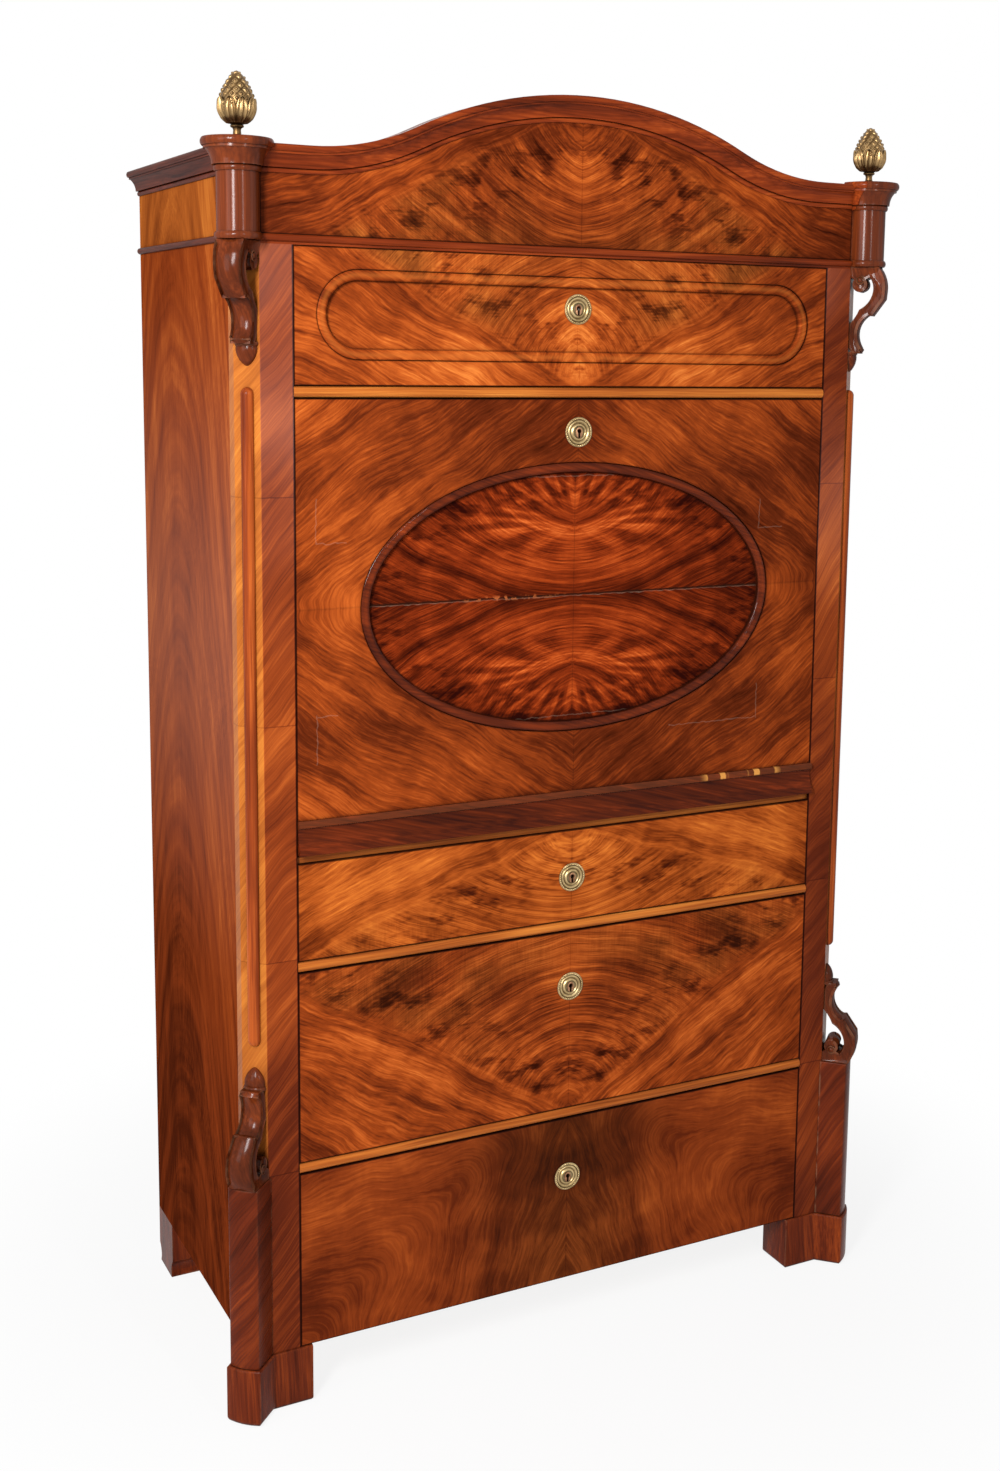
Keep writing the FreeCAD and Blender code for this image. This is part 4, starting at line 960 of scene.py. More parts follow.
        # Painted highlight along the split's lower lip.
        lip_highlight = line.hill(-0.0018, 0.0010) * in_oval * (ragged * 0.5 - 0.10)
        wood = shader.mix(lip_highlight, wood, Swatch.SPLIT_HIGHLIGHT)
        chip = ragged.step(0.52, 0.60) * (x.hill(-0.105, 0.11) * above.hill(0.0, 0.005))
        wood = shader.mix(chip * 0.8, wood, Swatch.SPLIT_CHIP)
        sway = (ragged - 0.5) * 0.006
        first, *others = [
            (abs(x + sway - line_x) - half_x).most(abs(z + sway - line_z) - half_z).drop(0.0001, 0.0007)
            for line_x, line_z, half_x, half_z in self.hairlines
        ]
        wood = shader.mix(first.most(*others) * front * 0.09, wood, Swatch.HAIRLINE)
        fine = fine_in * in_oval + fine_out * (1.0 - in_oval)
        return self.close(shader, wood, fine - split * 0.8)


@dataclass(frozen=True, kw_only=True)
class SwirlVeneer(FrontVeneer):
    """Nested arches that open outwards and down to each side of a dark centre, as on the bottom drawer."""

    swirl_x: float = 0.210
    swirl_z: float = 0.225
    turn: float = -0.66
    opening: float = 0.56
    tip: float = 0.030

    def material(self) -> Material:
        """Make the finish.

        Returns:
            The material.
        """
        shader = Shader(self.name)
        x, z = shader.x, shader.z
        mirrored = abs(x)
        out_x, out_z = mirrored - self.swirl_x, z - self.swirl_z
        ahead = out_x * math.cos(self.turn) + out_z * math.sin(self.turn)
        limb = (out_z * math.cos(self.turn) - out_x * math.sin(self.turn)).hypot(self.tip)
        across = limb * math.cos(self.opening) - ahead * math.sin(self.opening)
        across = across + self.warp(mirrored, z) * 1.2
        along = limb * math.sin(self.opening) + ahead * math.cos(self.opening)
        fine, figure = self.flow(Layer.OUTER, across, along, 360.0, 0.28)
        cloud = self.layer(Layer.CLOUD, mirrored * 6.0, z * 9.0)
        barb = self.layer(Layer.BARB, mirrored * 110.0, z * 60.0)
        heart = mirrored.hill(0.02, 0.13) * z.step(0.13, 0.27) * 0.30
        stain = x.hill(-0.15, 0.12) * z.hill(0.175, 0.055) * 0.24
        # Painted shade towards the bottom edge.
        low = z.drop(0.085, 0.19) * 0.10
        tone = (
            figure * 1.4 + (0.51 + self.lift)
            + (cloud - 0.5) * 0.76
            + (barb - 0.5) * 0.10
            - (heart + stain + low + x.hill(0.0, SEAM) * 0.10)
        )
        olive = mirrored.hill(0.0, 0.22) * self.olive
        colour = shader.mix(olive, shader.ramp(tone, self.tone), shader.ramp(tone, Tone.OLIVE))
        return self.close(shader, colour, fine)


@dataclass(frozen=True)
class RakedVeneer:
    """Stile and pedestal veneer laid on the slant in lengths that meet at cross joints."""

    name: str
    joints: tuple[float, ...] = (0.33, 0.62, 0.93, 1.22)
    lean: float = 0.75
    seed: float = 0.0
    lift: float = 0.0
    cant_x: float = 0.0
    right_shade: float = 0.0
    polish: Polish = Polish()

    def material(self) -> Material:
        """Make the finish.

        Returns:
            The material.
        """
        shader = Shader(self.name)
        x, z = shader.x, shader.z
        mirrored = abs(x)
        piece: Number = 0.0
        line: Number = 0.0
        for joint in self.joints:
            piece = z.step(joint - 0.0002, joint + 0.0002) + piece
            line = z.hill(joint, 0.0012) + line
        swing = shader.noise(z * 2.6, mirrored * 4.0, piece * 5.3, 1.0)
        slant = (swing - 0.5) * 0.22 - self.lean
        wander = shader.noise(mirrored * 22.0, z * 8.0, piece * 3.1, 1.0)
        outward = x - shader.y * 0.7
        across = outward * slant + z * 0.66 + wander * 0.016
        streak = shader.noise(across * 420.0, outward * 14.0, piece + self.seed, 3.0, 0.66)
        bundle = shader.noise(across * 75.0, outward * 8.0, piece + (self.seed + 7.0))
        cloud = shader.noise(z * 4.0, outward * 4.0, self.seed + 11.0, 1.0)
        blend = streak * 0.34 + bundle * 0.30 + cloud * 0.46
        # Painted shade low down.
        low = z.drop(0.20, 0.95) * 0.20
        # Painted shade on the right-hand piece.
        right = x.step(-0.1, 0.1) * self.right_shade
        edge = mirrored.drop(HALF_OPEN + 0.0004, HALF_OPEN + 0.0020)
        tone = (blend - 0.55) * 1.9 + (0.55 + self.lift) - (low + right) - (line * 0.22 + edge * 0.6)
        # Painted sheen in patches higher up.
        upper_sheen = z.step(0.98, 1.34) * cloud.step(0.30, 0.70) * 0.13
        colour = shader.mix(upper_sheen, shader.ramp(tone, Tone.STILE), Swatch.STILE_SHEEN)
        if self.cant_x:
            cant = mirrored.step(self.cant_x, self.cant_x + 0.0008)
            colour = shader.mix(cant, colour, shader.ramp(tone - 0.18, Tone.HONEY))
        return self.polish.apply(shader, colour, streak)


@dataclass(frozen=True)
class CastMetal:
    """Brass or iron with tarnish in the hollows and worn high spots."""

    name: str
    bright: Colour
    dull: Colour
    roughness: float
    mottle: float
    groove: float = 0.0035
    ridge: Optional[Colour] = None

    def material(self) -> Material:
        """Make the finish.

        Returns:
            The material.
        """
        shader = Shader(self.name)
        stain = shader.mottle(self.mottle, 3.0, 0.6)
        slow = shader.mottle(self.mottle * 0.22, 2.0)
        shader.relief(stain, 0.0002, 0.3)
        colour = shader.mix((stain * 0.45 + slow * 0.55).step(0.34, 0.66), self.dull, self.bright)
        if self.ridge is not None:
            colour = shader.mix(shader.edges(0.0012) * 0.85, colour, self.ridge)
        hollow = shader.shelter(self.groove).most(shader.painted("patina"))
        return shader.finish(
            Base_Color=shader.mix(hollow * 0.9, colour, Swatch.TARNISH),
            Metallic=1.0,
            Roughness=stain * 0.22 + (self.roughness - 0.08),
        )


@dataclass(frozen=True)
class DeskLeather:
    """Old green writing leather with a fine pebble, worn patches and a double gilt line."""

    name: str = "desk_leather"
    pebbles: float = 700.0
    gilt: tuple[tuple[float, float], ...] = ((-0.016, 0.0012), (-0.021, 0.0008))

    def material(self) -> Material:
        """Make the finish.

        Returns:
            The material.
        """
        shader = Shader(self.name)
        pebble = shader.value("TexVoronoi", "Distance", {"Vector": shader.place, "Scale": self.pebbles})
        worn = shader.noise(shader.x * 9.0, shader.z * 9.0, shader.y * 9.0, 3.0)
        inset = shader.beyond("writing_leather")
        first, second = (inset.hill(place, width) for place, width in self.gilt)
        shader.relief(pebble, 0.0004, 0.5)
        gilt = first.most(second) * worn.step(0.36, 0.52) * 0.85
        colour = shader.mix(gilt, shader.ramp(pebble * -0.25 + worn, Tone.LEATHER), Swatch.GILT)
        return shader.finish(Base_Color=colour, Roughness=0.55, Specular_IOR_Level=0.35)


def deselect() -> None:
    """Leave nothing selected, in object mode."""
    if bpy.context.object is not None and bpy.context.object.mode != "OBJECT":
        bpy.ops.object.mode_set(mode="OBJECT")
    bpy.ops.object.select_all(action="DESELECT")


def activate(item: Object) -> None:
    """Select one object alone and make it active.

    Args:
        item: the object.
    """
    deselect()
    item.select_set(True)
    bpy.context.view_layer.objects.active = item


@contextmanager
def edit(item: Object, everything: bool = True) -> Iterator[None]:
    """Edit an object's mesh within a with block.

    Args:
        item: the object.
        everything: whether the whole mesh is selected first.
    """
    activate(item)
    bpy.ops.object.mode_set(mode="EDIT")
    if everything:
        bpy.ops.mesh.select_all(action="SELECT")
    yield
    bpy.ops.object.mode_set(mode="OBJECT")


def select_only(item: Object, elements: Iterable[Any], chosen: Callable[[Any], bool]) -> None:
    """Select the corners or faces of a mesh that are chosen, and nothing else.

    Args:
        item: the object.
        elements: the mesh's corners or faces.
        chosen: says whether one of them is selected.
    """
    with edit(item):
        bpy.ops.mesh.select_all(action="DESELECT")
    for element in elements:
        element.select = chosen(element)


def modify(item: Object, kind: str, **settings: Any) -> None:
    """Apply a modifier to an object.

    Args:
        item: the object.
        kind: the modifier's type, such as "BEVEL".
        settings: its settings.
    """
    modifier = item.modifiers.new(kind.lower(), kind)
    for name, setting in settings.items():
        setattr(modifier, name, setting)
    activate(item)
    bpy.ops.object.modifier_apply(modifier=modifier.name)


def settle(item: Object, name: str) -> Object:
    """Bake an object's place into its mesh and name both.

    Args:
        item: the object.
        name: its name.

    Returns:
        The same object.
    """
    activate(item)
    bpy.ops.object.transform_apply(location=True, rotation=True, scale=True)
    item.name = item.data.name = name
    return item


def mend(item: Object) -> None:
    """Merge doubled corners, dissolve slivers and turn every face outwards.

    Args:
        item: the object.
    """
    with edit(item):
        bpy.ops.mesh.remove_doubles(threshold=1e-6)
        bpy.ops.mesh.dissolve_degenerate(threshold=2e-6)
        bpy.ops.mesh.normals_make_consistent(inside=False)


def round_edges(item: Object, width: float) -> None:
    """Round an object's sharp edges by a bevel of three faces."""
    modify(item, "BEVEL", width=width, segments=3, limit_method="ANGLE", angle_limit=math.radians(35.0))


def link(name: str, data: bpy.types.ID) -> Object:
    """Put a new object in the scene.

    Args:
        name: its name.
        data: its mesh, light or camera.

    Returns:
        The object.
    """
    item = bpy.data.objects.new(name, data)
    bpy.context.scene.collection.objects.link(item)
    return item


def node_copy(node: str, name: str) -> Object:
    """A copy of a CAD node with the doubled corners merged.

    Args:
        node: the CAD node, which stays as it is.
        name: the copy's name.

    Returns:
        The copy.
    """
    item = link(name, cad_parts[node].data.copy())
    with edit(item):
        bpy.ops.mesh.customdata_custom_splitnormals_clear()
        bpy.ops.mesh.remove_doubles(threshold=2e-5)
    return item


def lathe(name: str, profile: Profile, across: float, up: float, steps: int) -> Object:
    """A turned piece about Z at the origin, spun in edit mode.

    Args:
        name: the piece's name.
        profile: (radius, height) points from one end of the axis to the other.
        across: metres per unit of radius.
        up: metres per unit of height.
        steps: how many faces round.

    Returns:
        The closed piece.
    """
    points = [(radius * across, height * up) for radius, height in profile]
    deselect()
    bpy.ops.mesh.primitive_plane_add(size=0.001, location=(points[0][0], 0.0, points[0][1]))
    item = settle(bpy.context.object, name)
    with edit(item):
        bpy.ops.mesh.merge(type="CENTER")
        for (radius_1, height_1), (radius_2, height_2) in zip(points, points[1:]):
            move = (radius_2 - radius_1, 0.0, height_2 - height_1)
            bpy.ops.mesh.extrude_region_move(TRANSFORM_OT_translate={"value": move})
        bpy.ops.mesh.select_all(action="SELECT")
        bpy.ops.mesh.spin(steps=steps, angle=math.tau, center=ORIGIN, axis=(0.0, 0.0, 1.0))
    mend(item)
    return item


def copies(model: Object, places: Iterable[Matrix]) -> list[Object]:
    """Copies of a model at several places, each with its own mesh; the model goes.

    Args:
        model: the object to copy.
        places: where each copy goes.

    Returns:
        The copies.
    """
    made = []
    for number, place in enumerate(places):
        mesh = model.data.copy()
        mesh.transform(place)
        if place.determinant() < 0:
            mesh.flip_normals()
        made.append(link(f"{model.name}_{number}", mesh))
    bpy.data.objects.remove(model)
    return made


def join(name: str, items: Sequence[Object]) -> Object:
    """Join objects into one mesh.

    Args:
        name: its name.
        items: the objects.

    Returns:
        The joined object.
    """
    activate(items[0])
    for item in items:
        item.select_set(True)
    bpy.ops.object.join()
    return settle(bpy.context.object, name)


def enrol(item: Object, body: str, slot: str, angle: float, material: Material, *nodes: str) -> None:
    """Shade and dress a new piece, put it on its body, and let it stand for CAD nodes.

    Args:
        item: the piece.
        body: the body it rides on.
        slot: its material slot; not used.
        angle: edges sharper than this many degrees stay crisp.
        material: its finish.
        nodes: the CAD nodes it replaces.
    """
    activate(item)
    bpy.ops.object.shade_smooth_by_angle(angle=math.radians(angle))
    item.data.materials.clear()
    item.data.materials.append(material)
    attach(item, body)
    if nodes:
        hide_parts(*nodes)
    LOG.info("%s rides on %s, %d faces", item.name, body, len(item.data.polygons))


@dataclass
class PineConeFinial:
    """Cast pine cone with a collar of leaves, on a thin turned stem."""

    height: float = 0.0785
    radius: float = 0.0232
    axis_in: float = 0.0235
    rows: int = 8
    around: int = 11
    row_step: float = 0.02
    scales_low: float = 0.50
    scales_run: float = 0.46
    scale_foot: float = 0.0047
    scale_tip: float = 0.0015
    scale_depth: float = 0.0042
    scale_stretch: float = 1.12
    scale_bevel: float = 0.0005
    leaves: int = 9
    leaf_low: float = 0.225
    leaf_run: float = 0.37
    leaf_relief: float = 0.0021
    leaf_thick: float = 0.0010
    brass: CastMetal = CastMetal("cast_brass", (0.20, 0.115, 0.045), (0.08, 0.043, 0.017), 0.34, 160.0,
                                 groove=0.009, ridge=(0.46, 0.30, 0.135))
    core: Profile = (
        (0.0, 0.0), (0.38, 0.0), (0.40, 0.012), (0.36, 0.030), (0.22, 0.060), (0.20, 0.120), (0.24, 0.150),
        (0.34, 0.165), (0.36, 0.185), (0.30, 0.200), (0.52, 0.230), (0.74, 0.290), (0.88, 0.370),
        (0.93, 0.430), (0.90, 0.540), (0.78, 0.680), (0.56, 0.820), (0.32, 0.930), (0.12, 0.985), (0.0, 1.0),
    )

    def swell(self, share: float) -> float:
        """The cone's radius in metres.

        Args:
            share: the share of its height.

        Returns:
            The radius.
        """
        for (radius_1, low), (radius_2, high) in zip(self.core, self.core[1:]):
            if low <= share <= high:
                run = (radius_2 - radius_1) * (share - low) / max(high - low, 1e-6)
                return self.radius * (radius_1 + run)
        return 0.0

    def scale(self) -> Object:
        """One low diamond-shaped scale with its crown along +Z.

        Returns:
            The scale.
        """
        deselect()
        bpy.ops.mesh.primitive_cone_add(
            vertices=4, radius1=self.scale_foot, radius2=self.scale_tip, depth=self.scale_depth,
            location=ORIGIN,
        )
        item = bpy.context.object
        with edit(item):
            bpy.ops.transform.resize(value=(1.0, self.scale_stretch, 1.0), center_override=ORIGIN)
            bpy.ops.mesh.bevel(offset=self.scale_bevel, segments=1, affect="EDGES")
        return settle(item, "scale")

    def leaf(self) -> Object:
        """One leaf of the collar, with raised rim and rib, bent round the cone's swelling.

        Returns:
            The leaf.
        """
        deselect()
        bpy.ops.mesh.primitive_grid_add(x_subdivisions=16, y_subdivisions=12, size=1.0, location=ORIGIN)
        item = bpy.context.object
        for vertex in item.data.vertices:
            run, side = vertex.co.y + 0.5, vertex.co.x * 2.0
            share = self.leaf_low + self.leaf_run * run
            half = 1.02 * math.pi / self.leaves * math.sin(math.pi * (0.22 + 0.78 * run)) ** 0.45
            rim = math.exp(-(((abs(side) - 0.80) / 0.17) ** 2))
            rib = math.exp(-((side / 0.15) ** 2))
            out = self.swell(share) - 0.0002 + self.leaf_relief * max(rim, 0.85 * rib) + 0.0010 * run**4
            turn = side * half
            vertex.co = Vector((out * math.sin(turn), -out * math.cos(turn), share * self.height))
        modify(item, "SOLIDIFY", thickness=self.leaf_thick, offset=0.0)
        settle(item, "leaf")
        mend(item)
        return item

    def scale_places(self) -> list[Matrix]:
        """Where the scales sit: rows round the cone, every other row half a scale on.

        Returns:
            The places.
        """
        places = []
        for row in range(self.rows):
            share = self.scales_low + self.scales_run * row / (self.rows - 1)
            swell = self.swell(share)
            ahead = self.swell(min(share + self.row_step, 1.0))
            pitch = math.atan2(swell - ahead, self.row_step * self.height)
            count = max(5, round(self.around * min(1.0, swell / (0.80 * self.radius))))
            tilt = Matrix.Rotation(math.radians(90) - pitch * 0.8 - 0.12, 4, "X")
            stand = Matrix.Translation((0.0, -swell, share * self.height)) @ tilt
            size = Matrix.Scale(0.52 + 0.50 * swell / self.radius, 4)
            for number in range(count):
                turn = math.tau * (number + 0.5 * (row % 2)) / count
                places.append(Matrix.Rotation(turn, 4, "Z") @ stand @ size)
        return places

    def build(self) -> None:
        """Stand a finial on each column."""
        low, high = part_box("finials")
        middle, offset = (low + high) / 2, (high.x - low.x) / 2 - self.axis_in
        turns = [Matrix.Rotation(math.tau * number / self.leaves, 4, "Z") for number in range(self.leaves)]
        body = lathe("cone_core", self.core, self.radius, self.height, 32)
        scales = copies(self.scale(), self.scale_places())
        model = join("finial", [body, *scales, *copies(self.leaf(), turns)])
        spots = [Matrix.Translation((middle.x + side * offset, middle.y, low.z)) for side in (-1, 1)]
        pair = join("pine_cone_finials", copies(model, spots))
        enrol(pair, "carcass", "brass", 35.0, self.brass.material(), "finials")


@dataclass
class Escutcheon:
    """Round keyhole plate: beaded rim, stepped rings and an oval keyhole collar."""

    radius: float = 0.020
    thick: float = 0.0036
    beads: int = 40
    bead_radius: float = 0.0013
    bead_at: tuple[float, float] = (0.915, 0.34)
    hole_radius: float = 0.0031
    hole_depth: float = 0.02
    hole_at: tuple[float, float, float] = (0.0, 0.0014, 0.0)
    slot_size: tuple[float, float, float] = (0.0030, 0.0086, 0.021)
    slot_at: tuple[float, float, float] = (0.0, -0.0034, 0.0)
    collar_radius: float = 0.0052
    collar_thick: float = 0.0011
    collar_shape: tuple[float, float, float] = (0.96, 1.42, 1.0)
    collar_at: tuple[float, float] = (-0.0006, 0.42)
    patina_width: float = 0.045
    brass: CastMetal = CastMetal("plate_brass", (0.58, 0.43, 0.22), (0.34, 0.23, 0.10), 0.32, 300.0)
    copper: CastMetal = CastMetal("collar_copper", (0.56, 0.30, 0.16), (0.24, 0.11, 0.06), 0.30, 500.0)
    profile: Profile = (
        (0.0, 0.0), (1.0, 0.0), (1.0, 0.30), (0.97, 0.40), (0.86, 0.42), (0.84, 0.26), (0.82, 0.26),
        (0.79, 0.50), (0.74, 0.60), (0.69, 0.52), (0.66, 0.34), (0.63, 0.22), (0.60, 0.22), (0.57, 0.40),
        (0.53, 0.70), (0.49, 0.80), (0.45, 0.80), (0.42, 0.66), (0.40, 0.46), (0.38, 0.44), (0.0, 0.44),
    )
    collar_profile: Profile = ((0.0, 0.0), (1.0, 0.0), (1.0, 0.7), (0.86, 1.0), (0.0, 1.0))
    grooves: tuple[float, ...] = (0.83, 0.62, 0.39)

    def pierce(self, item: Object) -> None:
        """Cut the keyhole through a plate.

        Args:
            item: the plate.
        """
        deselect()
        bpy.ops.mesh.primitive_cylinder_add(
            vertices=24, radius=self.hole_radius, depth=self.hole_depth, location=self.hole_at
        )
        cutter = bpy.context.object
        with edit(cutter):
            bpy.ops.mesh.primitive_cube_add(size=1.0, location=self.slot_at)
            bpy.ops.transform.resize(value=self.slot_size, center_override=self.slot_at)
        settle(cutter, "keyhole")
        modify(item, "BOOLEAN", operation="DIFFERENCE", solver="EXACT", use_self=True, object=cutter)
        bpy.data.objects.remove(cutter)
        mend(item)

    def plate(self) -> Object:
        """The pierced plate with its beads, facing +Z, dark in its grooves.

        Returns:
            The plate.
        """
        disc = lathe("plate", self.profile, self.radius, self.thick, 48)
        self.pierce(disc)
        patina = disc.data.attributes.new("patina", "FLOAT", "POINT")
        for vertex, spot in zip(disc.data.vertices, patina.data):
            share = math.hypot(vertex.co.x, vertex.co.y) / self.radius
            away = min(abs(share - groove) for groove in self.grooves)
            spot.value = max(0.0, 1.0 - away / self.patina_width)
        deselect()
        bpy.ops.mesh.primitive_uv_sphere_add(
            segments=8, ring_count=5, radius=self.bead_radius, location=ORIGIN
        )
        bead = bpy.context.object
        out = Matrix.Translation((self.radius * self.bead_at[0], 0.0, self.thick * self.bead_at[1]))
        turns = [Matrix.Rotation(math.tau * number / self.beads, 4, "Z") for number in range(self.beads)]
        return join("plate", [disc, *copies(bead, [turn @ out for turn in turns])])

    def collar(self) -> Object:
        """The oval collar round the keyhole, facing +Z.

        Returns:
            The collar.
        """
        item = lathe("collar", self.collar_profile, self.collar_radius, self.collar_thick, 32)
        with edit(item):
            bpy.ops.transform.resize(value=self.collar_shape, center_override=ORIGIN)
            bpy.ops.transform.translate(value=(0.0, self.collar_at[0], self.thick * self.collar_at[1]))
        self.pierce(item)
        return item

    def build(self) -> None:
        """Set a plate and a collar on every front that locks."""
        brass, copper = self.brass.material(), self.copper.material()
        stands = []
        for front in LOCKED:
            low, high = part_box(f"{front}_escutcheon")
            place = Matrix.Translation(((low.x + high.x) / 2, high.y, (low.z + high.z) / 2))
            stands.append(place @ Matrix.Rotation(math.radians(90), 4, "X"))
        pairs = zip(copies(self.plate(), stands), copies(self.collar(), stands))
        for front, (plate, collar) in zip(LOCKED, pairs):
            plate.name, collar.name = f"{front}_key_plate", f"{front}_key_collar"
            enrol(plate, front, "brass", 40.0, brass, f"{front}_escutcheon")
            enrol(collar, front, "brass", 40.0, copper)


@dataclass
class CarvedWork:
    """Carcass pieces whose edges are eased by hand: a rounded copy stands for each node."""

    node: str
    slot: str
    ease: float = 0.0016

    def build(self, material: Material) -> None:
        """Copy the node, round its edges and dress it.

        Args:
            material: the finish.
        """
        item = node_copy(self.node, f"{self.node}_eased")
        with edit(item):
            bpy.ops.mesh.dissolve_limited(angle_limit=math.radians(1.0))
        round_edges(item, self.ease)
        mend(item)
        enrol(item, "carcass", self.slot, 50.0, material, self.node)


@dataclass
class ScrollConsole:
    """A pair of S-scroll consoles: sunk sides within a raised rim, volute eyes and a pointed bud."""

    node: str
    hangs: bool
    ease: float = 0.0046
    crown: float = 0.0050
    cuts: tuple[float, ...] = (-0.011, -0.0075, -0.004, 0.0, 0.004, 0.0075, 0.011)
    level: float = 0.006
    rim: float = 0.0026
    sink: float = 0.0018
    corner: tuple[float, float] = (0.455, -0.196)
    bud_length: float = 0.027
    bud_radius: float = 0.0145
    bud_flat: float = 0.72
    eye_out: float = 0.0140
    eye_down: float = 0.0190
    eye_side: float = 0.0165
    eye_radius: float = 0.0066
    eye: Profile = (
        (0.0, -0.3), (1.0, -0.3), (1.0, 0.25), (0.86, 0.34), (0.74, 0.22), (0.62, 0.10), (0.54, 0.24),
        (0.36, 0.42), (0.0, 0.5),
    )
    bud: Profile = (
        (0.0, -0.10), (1.04, -0.10), (1.10, -0.02), (1.06, 0.06), (0.96, 0.10), (1.00, 0.20), (0.98, 0.34),
        (0.86, 0.54), (0.66, 0.72), (0.40, 0.88), (0.16, 0.97), (0.0, 1.0),
    )

    def spots(self) -> list[tuple[int, Matrix]]:
        """Each corner's side and its frame: X across the scroll, -Y outwards, at the scroll's seat.

        Returns:
            The left and the right corner.
        """
        low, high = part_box(self.node)
        out, front = self.corner
        seat = high.z if self.hangs else low.z
        turns = [(side, Matrix.Rotation(side * math.pi / 4, 4, "Z")) for side in (-1, 1)]
        return [(side, Matrix.Translation((side * out, front, seat)) @ turn) for side, turn in turns]

    def is_side(self, face: bpy.types.MeshPolygon) -> bool:
        """Whether a face is one of the flat sides of a scroll.

        Args:
            face: the face.

        Returns:
            True for a side.
        """
        normal = face.normal
        across = abs(abs(normal.x) - abs(normal.y)) < 0.12 and abs(normal.z) < 0.12
        return across and (normal.x * face.center.x < 0 or normal.y > 0) and face.area > 4e-4

    def scrolls(self) -> Object:
        """The two scrolls without their buds, edges eased and sides sunk.

        Returns:
            The scrolls.
        """
        low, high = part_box(self.node)
        item = node_copy(self.node, "scrolls")
        select_only(item, item.data.vertices, lambda vertex: self.bud_length - 1e-5 > (
            vertex.co.z - low.z if self.hangs else high.z - vertex.co.z
        ))
        with edit(item, everything=False):
            bpy.ops.mesh.delete(type="VERT")
            bpy.ops.mesh.select_all(action="SELECT")
            bpy.ops.mesh.delete_loose(use_verts=True, use_edges=True, use_faces=False)
            bpy.ops.mesh.select_all(action="SELECT")
            bpy.ops.mesh.dissolve_limited(angle_limit=math.radians(1.0))
        round_edges(item, self.ease)
        self.round_fronts(item)
        select_only(item, item.data.polygons, self.is_side)
        with edit(item, everything=False):
            bpy.ops.mesh.inset(thickness=self.rim, depth=-self.sink)
        return item

    def round_fronts(self, item: Object) -> None:
        """Set back the edges of the scrolls' fronts, so that each front is crowned across.

        Args:
            item: the two scrolls.
        """
        for _, place in self.spots():
            with edit(item):
                for across in self.cuts:
                    bpy.ops.mesh.select_all(action="SELECT")
                    cut = place @ Vector((across, 0.0, 0.0))
                    bpy.ops.mesh.bisect(plane_co=cut, plane_no=place.col[0].xyz)
        for side, place in self.spots():
            back, turn = place.inverted(), place.to_3x3()
            corners = [(vertex, back @ vertex.co, turn.inverted() @ vertex.normal)
                       for vertex in item.data.vertices if vertex.co.x * side > 0]
            widest: dict[int, float] = {}
            for _, spot, _ in corners:
                level = round(spot.z / self.level)
                widest[level] = max(widest.get(level, 0.008), abs(spot.x))
            for vertex, spot, normal in corners:
                if normal.y < -0.15 and abs(spot.z) > 0.001:
                    share = abs(spot.x) / widest[round(spot.z / self.level)]
                    facing = Vector((0.0, normal.y, normal.z)).normalized()
                    vertex.co -= turn @ facing * (self.crown * share**2)

    def eyes(self) -> list[Object]:
        """The stepped button at the heart of each volute, on both sides of each scroll.

        Returns:
            The buttons.
        """
        model = lathe("volute_eye", self.eye, self.eye_radius, self.eye_radius, 24)
        down = -self.eye_down if self.hangs else self.eye_down
        return copies(model, [
            place @ Matrix.Translation((face * self.eye_side, -self.eye_out, down))
            @ Matrix.Rotation(face * math.pi / 2, 4, "Y")
            for _, place in self.spots() for face in (-1, 1)
        ])

    def buds(self) -> list[Object]:
        """The pointed drop beyond each scroll's tail, cut flat against the cant.

        Returns:
            The drops.
        """
        model = lathe("bud", self.bud, self.bud_radius, self.bud_length, 28)
        with edit(model):
            bpy.ops.mesh.bisect(plane_co=ORIGIN, plane_no=(0.0, 1.0, 0.0), use_fill=True, clear_outer=True)
            bpy.ops.mesh.select_all(action="SELECT")
            bpy.ops.transform.resize(value=(1.0, self.bud_flat, 1.0), center_override=ORIGIN)
        low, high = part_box(self.node)
        way = -1.0 if self.hangs else 1.0
        tail = Matrix.Translation((0.0, 0.0, way * (high.z - low.z - self.bud_length)))
        drop = tail @ Matrix.Scale(way, 4, (0.0, 0.0, 1.0))
        return copies(model, [place @ drop for _, place in self.spots()])

    def build(self, material: Material) -> None:
        """Carve the pair and put it in the node's place."""
        item = join(f"{self.node}_carved", [self.scrolls(), *self.eyes(), *self.buds()])
        enrol(item, "carcass", "mahogany", 45.0, material, self.node)


